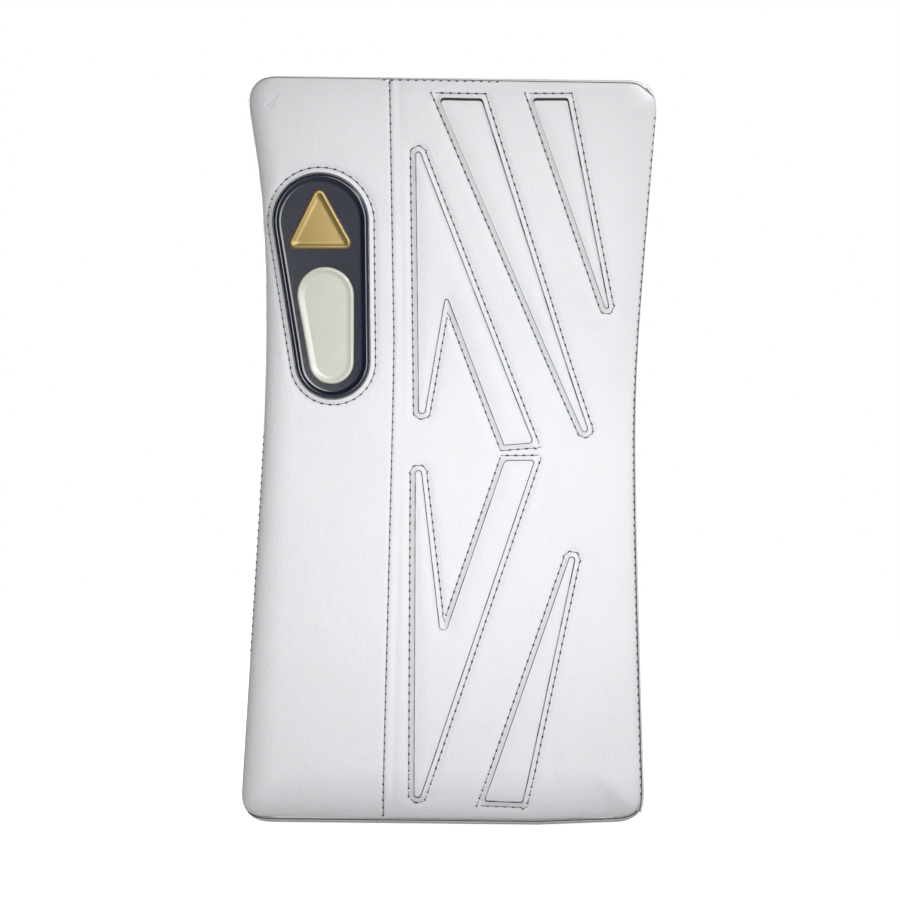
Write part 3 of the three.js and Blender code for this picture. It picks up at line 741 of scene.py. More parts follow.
WHITE = leather("white_leather", (0.80, 0.81, 0.83))
BAND = leather("band_leather", (0.80, 0.80, 0.81), grain=700)
# Near-black for cut walls, the inlays' sunk margins and the band's seam groove: partly the cut leather's own
# grey core, mostly painted shade in gaps and grooves.
CUT_EDGE_AND_SHADE = foam("cut_edge_and_painted_shade", (0.10, 0.10, 0.105), 0.5)
THREAD = woven("thread", (0.27, 0.27, 0.275), 0.5, 0.05)
# Near-black plugs at the stitches' ends: painted shade in the needle holes.
NEEDLE_HOLE_SHADE = foam("needle_hole_painted_shade", (0.03, 0.03, 0.032), 0.6)
PADDING = foam("padding_foam", (0.55, 0.56, 0.58))
CORE = foam("core_foam_look", (0.11, 0.12, 0.13), 1.6)
SHEET_PLASTIC = moulded("sheet_plastic", (0.75, 0.75, 0.74), 0.45)
NAVY = moulded("navy_plastic", (0.004, 0.007, 0.022), 0.18, coat=0.6)
GOLD = moulded("gold_film", (0.30, 0.215, 0.075), 0.32, metallic=0.55)
IVORY = moulded("ivory_plastic", (0.62, 0.63, 0.55), 0.28, coat=0.3)

# ---------------------------------------------------------------- the face


def slow_noise(points, wavelength, seed):
    return np.array([noise.noise((x / wavelength, s / wavelength, seed)) for x, s in points])


def seam_offset(points):
    """How far a point lies to the right of the face's seam."""
    at = np.interp(points[:, 1], SEAM[:, 1], SEAM[:, 0])
    return points[:, 0] - at


def edge_shape(points):
    """The edge seam's four numbers near each point, blended where two sides are equally near."""
    shapes = np.empty((len(points), 4))
    for chunk in range(0, len(points), 4000):
        gap = points[chunk : chunk + 4000, None, :] - FACE_EDGE
        gap = (gap * gap).sum(2)
        weight = np.exp(-(gap - gap.min(1)[:, None]) / 60)
        shapes[chunk : chunk + 4000] = weight @ FACE_EDGE_SHAPE / weight.sum(1)[:, None]
    return shapes.T


def edge_fall(points, under=0.0):
    """How far the padded edge has turned back: between a parabola and a quarter of an ellipse."""
    _, drop, width, roundness = edge_shape(points)
    share = 1 - np.clip((-outside_by(points, FACE_EDGE) - under) / width, 0, 1)
    ellipse = 1 - np.sqrt(1 - share**2)
    return -(drop - under) * (roundness * ellipse + (1 - roundness) * share**2)


def padded(points):
    """The board's padded front without its windows, as a height above the flat face."""
    h = edge_fall(points)
    h += 0.22 * slow_noise(points, 42, 1.7) + 0.10 * slow_noise(points, 14, 5.1)
    x = seam_offset(points)
    h -= 0.4 * gauss(x, 0.8)
    h -= 0.3 * gauss(x - SEAM_VALLEY_AT, 1.5) * (0.7 + slow_noise(points, 60, 8.2))
    for crease in CREASES:
        h -= 0.4 * gauss(distance_to(points, np.array(crease, float), False), 2.0)
    for scuff in SCUFFS:
        h -= 0.8 * gauss(distance_to(points, np.array(scuff, float), False), 0.4)
    return h


def margin_height(q):
    """The leather's lift round a cut-out, by distance outside the cut edge."""
    lift = CUT_LIFT + (-STITCH_DIP - CUT_LIFT) * np.clip(q / (STITCH_AT - 0.5), 0, 1) ** 1.1
    beyond = -STITCH_DIP * gauss(np.clip(q - STITCH_AT - 0.5, 0, None), 1.3)
    return np.where(q < STITCH_AT, lift, beyond)


def cut_distance(points, loops):
    return np.min([outside_by(points, loop) for loop in loops], 0)


def panel_height(cuts):
    return lambda points: padded(points) + margin_height(np.maximum(cut_distance(points, cuts), 0))


def panel_points(loops, outsets, side, spacing):
    """Points for a panel's surface: rings round its cut-outs, lines along its edges, and a grid."""
    rings = []
    for outset in outsets:
        for distance in RING_OFFSETS:
            rings.append((outset(distance), 0.42))
    for distance in EDGE_OFFSETS:
        rings.append((seam_loop(distance), 0.5))
    for distance in SEAM_OFFSETS:
        line = resampled(SEAM + (side * (SEAM_GAP + distance), 0), SEAM_STEP, False)
        rings.append((line, 0.42))
    for crease in CREASES:
        rings.append((resampled(np.array(crease, float), 1.5, False), 0.8))
    for scuff in SCUFFS:
        for shift in (-0.9, -0.45, 0, 0.45, 0.9):
            rings.append((resampled(np.array(scuff, float) + (shift, -shift), 0.5, False), 0.35))
    near = [(well_inside(points, loops, 0.35), space) for points, space in rings]
    grid = well_inside(hex_grid(loops[0], spacing), loops, spacing * 0.6)
    return thinned([*near, (grid, spacing * 0.62)], np.concatenate(loops))


def first_run(keep, more=0):
    """The indices of a closed loop's kept points in order, with some more points at both ends."""
    start = np.flatnonzero(keep & ~np.roll(keep, 1))[0]
    return np.roll(np.arange(len(keep)), more - start)[: keep.sum() + 2 * more]


def beside_seam(side):
    """The part of the face's outline on one side of the seam."""
    part = FACE_EDGE[first_run(side * seam_offset(FACE_EDGE) > SEAM_GAP + 0.6)]
    along = [part[-1, 1], SEAM[1, 1], part[0, 1]]
    ends = [(np.interp(s, SEAM[:, 1], SEAM[:, 0]) + side * SEAM_GAP, s) for s in along]
    return np.concatenate([part, resampled(np.array(ends), SEAM_STEP, False)])


def grown_window(corners):
    return lambda distance: rounded_polygon(offset(corners, distance))


def make_face():
    windows = [grown_window(corners) for corners in WINDOWS.values()]
    for name, node, side, cuts, outsets in (
        ("face_main", "face_main_panel", 1, list(WINDOW_LOOPS.values()), windows),
        ("face_strip", "face_thumb_strip", -1, [badge_hole()], [badge_hole]),
    ):
        loops = [beside_seam(side), *cuts]
        extra = panel_points(loops, outsets, side, 2.6)
        # The cut walls get the near-black material: partly the leather's grey core, partly painted shade.
        piece = sheet(name, loops, extra, panel_height(cuts), LEATHER, [WHITE, CUT_EDGE_AND_SHADE])
        placed(piece, "leather_white", node)


def make_inlay(name, own, edge, extra):
    """An inlay: a soft pillow in its own outline, with a sunk margin under the face that is painted
    near-black as shade in the gap.
    """
    loop = rounded_polygon(own)

    def height(points):
        q = outside_by(points, loop)
        pillow = -0.25 + 0.55 * (1 - gauss(np.clip(-q, 0, None), 3))
        return padded(points) + np.where(q < INLAY_GAP * 0.1, pillow, INLAY_SUNK)

    # The margin beyond the inlay's own outline gets the near-black material: painted shade in the groove
    # round it.
    def painted_shade_margin(points):
        return outside_by(points, loop) > INLAY_GAP * 0.5

    piece = sheet("window_" + name, [edge], extra, height, INLAY_THICK, [WHITE, CUT_EDGE_AND_SHADE], dark=painted_shade_margin)
    placed(piece, "leather_white", "inlay_" + name)


def make_inlays():
    for name, corners in WINDOWS.items():
        own = [(x, s - INLAY_SHORT * (s > 350), radius) for x, s, radius in offset(corners, -INLAY_GAP)]
        edge = rounded_polygon(offset(corners, INLAY_UNDER), 2)
        rings = [(rounded_polygon(offset(own, d)), 0.3) for d in (0, INLAY_GAP * 0.8)]
        rings += [(rounded_polygon(offset(own, -d)), 0.4) for d in (0.6, 1.4, 2.3)]
        near = [(well_inside(points, [edge], 0.4), space) for points, space in rings]
        grid = well_inside(hex_grid(edge, 2.4), [edge], 1.4)
        make_inlay(name, own, edge, thinned([*near, (grid, 1.5)], edge))


# ---------------------------------------------------------------- thread


def stitch_mesh(name, frames, length, radius, materials, place):
    """Sunk stitches, each with a needle hole at both ends, a near-black plug of painted shade. A frame is
    (point, along, across, up).
    """
    verts, faces, slots = [], [], []
    around = np.linspace(0, 2 * math.pi, 7)[:-1]
    cosines, sines = np.cos(around)[:, None], np.sin(around)[:, None]
    for p, along, across, up in frames:
        section = across * cosines + up * sines
        tubes = [[(u, lift, section * swell * radius) for u, lift, swell in STITCH_STATIONS]]
        hole = (along * cosines + across * sines) * HOLE_RADIUS
        tubes += [[(end, lift, hole) for lift in HOLE_HEIGHTS] for end in (-0.5, 0.5)]
        for stations, slot in zip(tubes, (0, 1, 1)):
            first = len(verts)
            for u, lift, ring in stations:
                verts += list(p + along * u * length + up * lift + ring)
            add_tube(faces, slots, first, len(stations), len(around), slot)
    obj = make_object(name, place(np.array(verts)), faces, materials)
    obj.data.polygons.foreach_set("material_index", np.array(slots, np.int32))
    return facing_out(obj)


def stitches(name, lines, height, pitch=STITCH_PITCH, length=STITCH_LENGTH, thread=THREAD, out=1):
    """Stitches along closed or open lines of the flat board. out is -1 on its back."""
    frames = []
    for line, closed in lines:
        points, directions = walk(line, pitch, closed)
        for p, t, h in zip(points, directions, height(points)):
            along, across = np.array((*t, 0)), np.array((-t[1], t[0], 0))
            frames.append((np.array((*p, h)), along, across, np.array((0, 0, out))))
    placed(stitch_mesh(name, frames, length, 0.24, [thread, NEEDLE_HOLE_SHADE], bent), "cord")


def add_tube(faces, slots, first, rings, count, slot):
    """Adds the faces of a closed tube whose rings' points follow one another."""
    for k in range(rings - 1):
        for i in range(count):
            j = (i + 1) % count
            a, b = first + k * count, first + (k + 1) * count
            faces.append((a + i, a + j, b + j, b + i))
            slots.append(slot)
    faces.append(tuple(range(first, first + count))[::-1])
    faces.append(tuple(range(first + (rings - 1) * count, first + rings * count)))
    slots += [slot, slot]


def make_face_stitching():
    lines = [(stitch_line(corners), True) for corners in WINDOWS.values()]
    stitches("window_stitching", lines, panel_height(list(WINDOW_LOOPS.values())))
    stitches("badge_stitching", [(badge_hole(STITCH_AT), True)], panel_height([badge_hole()]))
    line = SEAM.copy()
    line[0, 1], line[-1, 1] = LOW_END + 4, HIGH_END - 4
    stitches("seam_stitching", [(resampled(line, 2, False), False)], padded, pitch=4.1, length=3.4)


def make_edge_stitching():
    """The stitches of the edge seam that are in sight, as short dots, mostly their near-black needle holes
    of painted shade.
    """
    _, outward = board_edge(SEAM_STEP)
    loop = seam_loop(0.5)
    places = bent(np.column_stack([loop, padded(loop) + 0.1])) / MM
    normals = np.column_stack([outward[:, 0], np.full(len(loop), -0.8), outward[:, 1]])
    x, s = loop.T
    lines = []
    for side, on_side, along in (("little", x > 90, s), ("thumb", x < 0, s), ("top", s > 300, x)):
        start, end = EDGE_STITCHED[side]
        order = first_run(on_side & (along > start) & (along < end))
        lines.append((places[order], normals[order], False))
    sewn("edge_stitching", lines, THREAD, pitch=4.1, length=0.4)


# ---------------------------------------------------------------- the badge


def plateau(name, outline, profile, material, node, slot):
    """A moulded piece: the same outline at each (inset, height) of its profile, closed at both ends."""
    rings = []
    for inset, h in profile:
        loop = outline(-inset)
        rings.append(bent(np.column_stack([loop, np.full(len(loop), h)])))
    placed(loft(name, rings, [material], sharp=50), slot, node)


def even(outline, count):
    """The outline with a fixed number of points, so that its insets can be lofted."""

    def at(grow):
        points, _ = walk(outline(grow), 1)
        share = np.linspace(0, len(points), count, endpoint=False)
        i = share.astype(int)
        onward = np.roll(points, -1, 0)
        return points[i] + (onward[i] - points[i]) * (share - i)[:, None]

    return at


def soft_edge(top, low, width):
    return [(0, low), (0, top - width), (width * 0.3, top - width * 0.3), (width, top)]


def make_badge():
    base = even(lambda grow: tapered_capsule(BADGE_BASE, grow, 0.8), 240)
    delta = even(lambda grow: rounded_polygon(offset(BADGE_DELTA, grow), 0.6), 160)
    bar = even(lambda grow: tapered_capsule(BADGE_BAR, grow, 0.6), 160)
    rim = soft_edge(2.3, -2.2, 1.0) + [(1.9, 2.3), (2.6, 1.5), (4, 1.4)]
    step = soft_edge(2.5, 1.2, 0.7) + [(1.6, 2.5), (2.1, 2.2), (4, 2.2)]
    for node, outline, profile, material, slot in (
        ("badge_base", base, rim, NAVY, "badge_navy"),
        ("badge_delta", delta, step, GOLD, "badge_gold"),
        ("badge_bar", bar, step, IVORY, "badge_ivory"),
    ):
        plateau(node + "_moulding", outline, profile, material, node, slot)


# ---------------------------------------------------------------- side bands


def band_profile(seam_inset, seam_depth):
    """The side band in section, as (inset, depth) from the edge seam round to the back."""
    gap = min(1.1, seam_inset * seam_depth / 19)  # a deeper seam gapes wider
    groove = (seam_inset - gap * 0.2, seam_depth + 1.8)
    lip = (seam_inset - gap, seam_depth + 1)
    fullest = max(BAND_FULLEST, seam_depth + 2.5)
    shoulder = (seam_inset * 0.45, seam_depth + 0.9 + (fullest - seam_depth) * 0.2)
    outer = [groove, lip, shoulder, (0.1, fullest), (0.1, 14), (0.6, 18), (1.5, 21), (2.8, 24.2)]
    inner = [(inset + 0.9, depth) for inset, depth in reversed(outer[1:])]
    return outer + inner + [(seam_inset + 0.7, seam_depth + 2)]


def make_bands():
    step = 1.6
    loop, outward = board_edge(step)
    seams = edge_seam(loop, outward)
    end = CORNER / 3
    right = (loop[:, 0] > LITTLE_EDGE["waist"] - end) & (loop[:, 1] > end) & (loop[:, 1] < HIGH_END - end)
    for name, keep, node, swelling in (
        ("edge_band", ~right, "side_band", 0),
        ("edge_band_little_side", right, "side_band_little_side", 1),
    ):
        order = first_run(keep, 1)
        rings = []
        for i, here in enumerate(order):
            from_end = min(i, len(order) - 1 - i) * step
            swell = swelling * gauss(from_end, 5)
            section = []
            for inset, depth in band_profile(*seams[here, :2]):
                place = loop[here] - outward[here] * (inset - swell * math.sin(math.pi * depth / 30))
                section.append((*place, -depth))
            rings.append(bent(np.array(section)))
        piece = loft(name, rings, [BAND, CUT_EDGE_AND_SHADE], sharp=60)
        slots = np.arange(len(piece.data.polygons)) % len(section) == 0  # the groove along the seam gets the near-black material: painted shade
        piece.data.polygons.foreach_set("material_index", slots.astype(np.int32))
        placed(piece, "leather_side", node)


# ---------------------------------------------------------------- shared ways to build the back


def evenly(path, count, closed=False):
    """A path of any dimension, with points at even distances."""
    line = np.vstack([path, path[:1]]) if closed else np.asarray(path, float)
    reached = np.concatenate([[0], np.cumsum(np.linalg.norm(np.diff(line, axis=0), axis=1))])
    at = np.linspace(0, reached[-1], count, endpoint=not closed)
    return np.stack([np.interp(at, reached, line[:, k]) for k in range(line.shape[1])], 1)


def smooth_path(corners, reach, step=1.0):
    """An open path through corners, each rounded off over a reach on both sides."""
    corners = np.array(corners, float)
    reaches = np.broadcast_to(np.asarray(reach, float), len(corners))
    parts = [corners[:1]]
    for before, here, after, r in zip(corners, corners[1:], corners[2:], reaches[1:]):
        parts.append(quadratic(here + unit(before - here) * r, here, here + unit(after - here) * r, 8))
    path = np.concatenate([*parts, corners[-1:]])
    length = np.linalg.norm(np.diff(path, axis=0), axis=1).sum()
    return evenly(path, max(8, round(length / step)))


def finished(obj, sharp=None):
    """The object with its modifiers applied."""
    evaluated = obj.evaluated_get(bpy.context.evaluated_depsgraph_get())
    mesh = bpy.data.meshes.new_from_object(evaluated)
    obj.modifiers.clear()
    obj.data = mesh
    mesh.shade_smooth()
    if sharp:
        mesh.set_sharp_from_angle(angle=math.radians(sharp))
    return obj


def subdivided(obj, levels=1):
    obj.modifiers.new("subdivision", "SUBSURF").levels = levels
    return finished(obj)


def grid_normals(grid):
    along, across = np.gradient(grid, axis=0), np.gradient(grid, axis=1)
    normal = np.cross(along, across)
    return normal / np.linalg.norm(normal, axis=2)[..., None]


def slab(name, middle, half, materials, levels=1):
    """A closed sheet round a middle surface given as rows of points. half is its half thickness."""
    rows, columns = middle.shape[:2]
    spread = grid_normals(middle) * np.broadcast_to(half, (rows, columns))[..., None]
    verts = np.concatenate([(middle + spread).reshape(-1, 3), (middle - spread).reshape(-1, 3)]) * MM
    count = rows * columns
    faces = []
    for i in range(rows - 1):
        for j in range(columns - 1):
            a, b = i * columns + j, (i + 1) * columns + j
            faces.append((a, a + 1, b + 1, b))
            faces.append((count + b, count + b + 1, count + a + 1, count + a))
    border = [*range(columns)]
    border += [i * columns + columns - 1 for i in range(1, rows)]
    border += [(rows - 1) * columns + j for j in range(columns - 2, -1, -1)]
    border += [i * columns for i in range(rows - 2, 0, -1)]
    for a, b in zip(border, border[1:] + border[:1]):
        faces.append((a, a + count, b + count, b))
    obj = facing_out(make_object(name, verts, faces, materials, 180))
    return subdivided(obj, levels) if levels else obj


def frames_along(path, reference, closed=False):
    """Direction, side and up at each point of a path, with the side kept near a reference direction."""
    if closed:
        along = np.roll(path, -1, 0) - np.roll(path, 1, 0)
    else:
        along = np.gradient(path, axis=0)
    along /= np.linalg.norm(along, axis=1)[:, None]
    side = np.broadcast_to(np.asarray(reference, float), along.shape)
    side = side - along * (side * along).sum(1)[:, None]
    side /= np.linalg.norm(side, axis=1)[:, None]
    return along, side, np.cross(along, side)


def cord(name, path, radius, material, reference=(0, 0, 1), closed=False, count=10, body="board"):
    """A round cord along a path. radius is a number or one number for each point."""
    _, side, up = frames_along(path, reference, closed)
    radii = np.broadcast_to(radius, len(path))
    angles = full_turn(count)
    rings = []
    for p, a, b, r in zip(path, side, up, radii):
        rings.append((p + r * (np.outer(np.cos(angles), a) + np.outer(np.sin(angles), b))) * MM)
    return placed(loft(name, rings, [material], cap=not closed, sharp=80), body=body)


def swollen(obj, voxel, cap):
    """Stuffs a piece: it is remeshed, blown up as cloth by no more than a cap, and smoothed."""
    remesh = obj.modifiers.new("remesh", "REMESH")
    remesh.mode = "VOXEL"
    remesh.voxel_size = voxel * MM
    finished(obj)
    start = points_of(obj.data)
    cloth = obj.modifiers.new("cloth", "CLOTH")
    cloth.settings.use_pressure = True
    cloth.settings.uniform_pressure_force = SWELL_PRESSURE
    cloth.settings.effector_weights.gravity = 0
    cloth.point_cache.frame_end = SWELL_FRAMES
    for frame_number in range(1, SWELL_FRAMES + 1):
        bpy.context.scene.frame_set(frame_number)
    evaluated = obj.evaluated_get(bpy.context.evaluated_depsgraph_get())
    moved = points_of(evaluated.data) - start
    far = np.linalg.norm(moved, axis=1)[:, None]
    obj.modifiers.clear()
    place_points(obj.data, start + moved * np.minimum(1, cap * MM / np.maximum(far, 1e-9)))
    bpy.context.scene.frame_set(1)
    smooth = obj.modifiers.new("smooth", "SMOOTH")
    smooth.iterations = 2
    return subdivided(obj)


def raised(path, heights):
    """A path in the x-y plane, repeated at some heights."""
    grid = np.empty((len(heights), len(path), 3))
    grid[..., :2] = path
    grid[..., 2] = heights[:, None]
    return grid


def points_of(mesh):
    points = np.empty(len(mesh.vertices) * 3)
    mesh.vertices.foreach_get("co", points)
    return points.reshape(-1, 3)


def normals_of(mesh):
    normals = np.empty(len(mesh.vertices) * 3)
    mesh.vertices.foreach_get("normal", normals)
    return normals.reshape(-1, 3)


def place_points(mesh, points):
    mesh.vertices.foreach_set("co", np.asarray(points, float).ravel())
    mesh.update()


def wrinkled(obj, depth, size, seed, stretch=(1, 1, 1)):
    """Moves the points along their normals by smooth noise."""
    points = points_of(obj.data)
    scale = np.array(stretch) / (size * MM)
    waves = np.array([noise.noise((*(p * scale)[:2], p[2] * scale[2] + seed)) for p in points])
    place_points(obj.data, points + normals_of(obj.data) * waves[:, None] * depth * MM)


def relaxed(loop, times):
    """A closed loop, smoothed."""
    for _ in range(times):
        loop = (np.roll(loop, 1, 0) + loop * 2 + np.roll(loop, -1, 0)) / 4
    return loop


def seen_from_side(loop, x):
    """A line of (y, z) points at an x."""
    return np.column_stack([np.full(len(loop), x), loop])


# ---------------------------------------------------------------- the back of the board

NYLON = woven("back_nylon_weave", (0.030, 0.032, 0.036), 1.1, 0.15, 0.12)
MESH_CLOTH = woven("sleeve_mesh", (0.045, 0.047, 0.052), 2.4, 0.5, 0.5)
WEBBING = woven("strap_webbing", (0.022, 0.022, 0.025), 1.6, 0.35, 0.35)
TAPE = foam("hook_and_loop", (0.03, 0.03, 0.034), 0.7)
LACING = woven("lace_cord", (0.72, 0.72, 0.70), 0.8, 0.12)
SUEDE = leather("palm_suede_nap", (0.36, 0.255, 0.145), 1300, 0.05, (0.82, 0.95), 0.12, 0.15)
LINING = foam("lining_fleece", (0.16, 0.17, 0.18), 0.8)
STEEL = moulded("nickel_steel", (0.62, 0.62, 0.63), 0.22, metallic=1)
TAN_THREAD = woven("tan_thread", (0.50, 0.41, 0.28), 0.5, 0.05)


def circle(x, s, radius):
    angles = full_turn(24)
    return np.column_stack([x + radius * np.cos(angles), s + radius * np.sin(angles)])


def inner_block(name, node, inset, top, floor, material):
    """A hidden layer of the board: a rounded top that follows the face, and a level floor."""
    loop = inset_board(inset, 4)
    extra = well_inside(hex_grid(loop, 9), [loop], 4)
    placed(sheet(name, [loop], extra, top, 0, [material], floor=floor), node=node)


def make_board_inside():
    inner_block("face_cushion", "face_foam", 4.5, lambda p: edge_fall(p, 2) - 2.8, -8.8, PADDING)
    inner_block("stiff_core", "core_foam", 4.2, lambda p: np.full(len(p), -11.1), -24.2, CORE)


def on_back(drop):
    return lambda points: np.full(len(points), -BOARD - drop)


def make_back_panel():
    loop = inset_board(3.2, 2)
    holes = [circle(HAND_CENTRE + side * LACE_OUT, s, 2.2) for side in (-1, 1) for s in LACE_ROWS]
    extra = well_inside(hex_grid(loop, 6), [loop, *holes], 2.5)

    def height(points):
        return -24.6 + 0.35 * slow_noise(points, 30, 3.3)

    piece = sheet("back_panel_nylon", [loop, *holes], extra, height, 1.2, [NYLON], low_spacing=5)
    placed(piece, "back_nylon", "back_panel")


def make_edge_binding():
    loop, outward = board_edge(2)
    rings = []
    for p, out in zip(loop, outward):
        rings.append(bent(np.array([(*(p - out * inset), -depth) for inset, depth in BINDING])))
    placed(loft("edge_binding_roll", rings, [BAND], cap=False, sharp=70), "leather_side", "edge_binding")
    stitches("binding_stitching", [(inset_board(6.2, 2), True)], on_back(1.75), pitch=5, out=-1)


# ---------------------------------------------------------------- the palm and its laces


def arch_path(half, foot, top, corner, step=1.5):
    """An arch over the hand, from its foot on the thumb side to its foot on the little-finger side."""
    left, right = HAND_CENTRE - half, HAND_CENTRE + half
    return smooth_path([(left, foot), (left, top), (right, top), (right, foot)], corner, step)


def in_arch(points, half, top, corner):
    """How deep points lie inside an arch, as a rough distance."""
    across = half - np.abs(points[:, 0] - HAND_CENTRE)
    up = top - points[:, 1]
    round_part = corner - np.hypot(np.maximum(corner - across, 0), np.maximum(corner - up, 0))
    return np.minimum(np.minimum(across, up), round_part)


def palm_top(y):
    """How far up the palm's leather runs."""
    return PALM["high"] - np.maximum(y - KNUCKLE_Y, 0) * math.tan(math.radians(PALM_CUT))


def hollow(z):
    """How deep the hollow in the middle of the palm is at a height."""
    return HOLLOW["deep"] * gauss(z - HOLLOW["at"], HOLLOW["width"])


def make_palm():
    half, wall = PALM["half"], PALM["wall"] / 2
    path = arch_path(half - wall, PALM["foot"], PALM["top"] - wall, PALM["corner"])
    rows = np.linspace(0, 1, 64)
    high = palm_top(path[:, 1])
    grid = np.empty((len(rows), len(path), 3))
    grid[..., :2] = path
    grid[..., 2] = PALM["low"] + rows[:, None] * (high - PALM["low"])
    in_middle = np.sin(rows * math.pi)[:, None] * np.sin(np.linspace(0, math.pi, len(path))) ** 2
    grid[..., 1] -= hollow(grid[..., 2]) * in_middle
    palm = slab("palm_leather", grid, wall, [SUEDE])
    wrinkled(palm, 1.5, 22, 2.0, (1, 1, 1.6))
    wrinkled(palm, 0.5, 6, 7.0, (0.6, 1, 2))
    cutter = cord("thumb_hole", evenly(THUMB_AXIS, 8), THUMB_RADIUS - 1.6, SUEDE, (0, 1, 0), count=32)
    carve(palm, cutter)
    placed(palm, "palm_suede", "palm")

    outside = arch_path(half, PALM["foot"] + 1, PALM["top"], PALM["corner"], 1.2)
    hem = np.column_stack([outside, np.full(len(outside), PALM["low"] + 0.6)])
    cord("palm_wrist_hem", hem, 1.5, NYLON)
    fold = np.column_stack([outside, palm_top(outside[:, 1]) - 0.4])
    cord("palm_finger_hem", fold, 1.1, SUEDE)


def flange_height(points):
    return -26.2 + 0.2 * slow_noise(points, 12, 1.1)


def make_flanges():
    for side, name in ((-1, "thumb_side"), (1, "little_side")):
        inner, outer = HAND_CENTRE + side * (PALM["half"] - 3), HAND_CENTRE + side * FLANGE["edge"]
        low, high = FLANGE["low"], FLANGE["high"]
        corners = [(inner, low, 0.6), (outer, low, 5), (outer, high, 5), (inner, high, 0.6)]
        loop = rounded_polygon(corners if side > 0 else corners[::-1])
        holes = [circle(HAND_CENTRE + side * EYELET_OUT, s, 2.8) for s in EYELET_ROWS]
        extra = well_inside(hex_grid(loop, 3), [loop, *holes], 1)
        title = "palm_flange_" + name
        flange = sheet(title, [loop, *holes], extra, flange_height, 1.8, [SUEDE], low_spacing=3)
        placed(flange, "palm_suede")
        edge = HAND_CENTRE + side * (FLANGE["edge"] - 2)
        line = np.array([(edge, low + 3.8), (edge, high - 3)], float)
        stitches("flange_stitching_" + name, [(line, False)], on_back(2.35), thread=TAN_THREAD, out=-1)


def palm_surface(x, z):
    """The palm's y at a distance x from the middle of the hand."""
    return PALM["top"] - hollow(z) * np.cos(x / 75) ** 2


def make_palm_patch():
    """The thicker patch over the palm, where the stick lies."""
    half, low, high, margin = PATCH["half"], PATCH["low"], PATCH["high"], PATCH["margin"]
    x, z = np.meshgrid(np.linspace(-half, half, 40), np.linspace(low, high, 40))
    grid = np.stack([x + HAND_CENTRE, palm_surface(x, z) + 0.5, z], 2)
    from_edge = np.minimum(half - np.abs(x), (high - low) / 2 - np.abs(z - (low + high) / 2))
    patch = slab("palm_patch", grid, np.clip(from_edge / 3, 0.35, 1), [SUEDE])
    wrinkled(patch, 0.35, 14, 9.0)
    placed(patch, "palm_suede")
    side, low, high = half - margin, low + margin, high - margin
    loop = rounded_polygon([(-side, low, 4), (side, low, 4), (side, high, 4), (-side, high, 4)], 1)
    y = palm_surface(loop[:, 0], loop[:, 1]) + 1.5
    line = np.column_stack([loop[:, 0] + HAND_CENTRE, y, loop[:, 1]])
    sewn("patch_stitching", [(line, np.tile((0, 1, 0), (len(line), 1)), True)], TAN_THREAD)


def make_eyelets():
    radius, y = np.array(EYELET).T
    for side, name in ((-1, "thumb"), (1, "little")):
        for i, z in enumerate(EYELET_ROWS):
            x = HAND_CENTRE + side * EYELET_OUT
            rings = []
            for a in full_turn(28):
                places = [x + radius * math.cos(a), BACK + y, z + radius * math.sin(a)]
                rings.append(np.column_stack(places) * MM)
            piece = loft(f"nickel_eyelet_{name}_{i + 1}", rings, [STEEL], cap=False, sharp=50)
            placed(piece, "steel", f"eyelet_{name}_side_{i + 1}")


def make_laces():
    for side, name in ((-1, "thumb"), (1, "little")):
        points = []
        for low, high in zip(EYELET_ROWS, LACE_ROWS):
            for z, out, up in ((low, EYELET_OUT, 3.6), (high, LACE_OUT, 1.3)):
                points += [(side * out, BACK + up, z), (side * (EYELET_OUT + 6), BACK + 5.2, z + 4.8)]
        corners = np.array(points[:-1], float)
        corners[:, 0] += HAND_CENTRE
        path = smooth_path(corners, 2.2, 0.8)
        from_end = np.minimum(np.arange(len(path)), np.arange(len(path))[::-1]) * 0.8
        radius = 1.1 + 1.3 * gauss(from_end - 2.2, 1.6)  # a knot at each end
        piece = cord(f"lace_{name}_cord", path, radius, LACING, (1, 0, 0), count=12)
        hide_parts(f"lace_{name}_side")


def make_hand_pad():
    left, right = HAND_CENTRE - PAD["half"], HAND_CENTRE + PAD["half"]
    corners = [(left, PAD["low"]), (right, PAD["low"]), (right, PAD["high"]), (left, PAD["high"])]
    outline = rounded_polygon([(*corner, PAD["corner"]) for corner in corners], 2)
    middle = outline.mean(0)
    rings = []
    for inset, y in PAD_SECTION:
        shrunk = middle + (outline - middle) * (1 - inset / 45)
        rings.append(np.column_stack([shrunk[:, 0], np.full(len(shrunk), y), shrunk[:, 1]]) * MM)
    placed(swollen(loft("hand_pad_cushion", rings, [LINING]), 3, 1.6), "foam", "hand_pad")


# ---------------------------------------------------------------- fingers and thumb


def leaning(base, angle, outward=0.0):
    """A point's direction that leans an angle to the palm side, and an angle to the thumb side."""
    a, b = math.radians(angle), math.radians(outward)
    return base * np.array((-math.sin(b) * math.cos(a), math.sin(a), math.cos(b) * math.cos(a)))


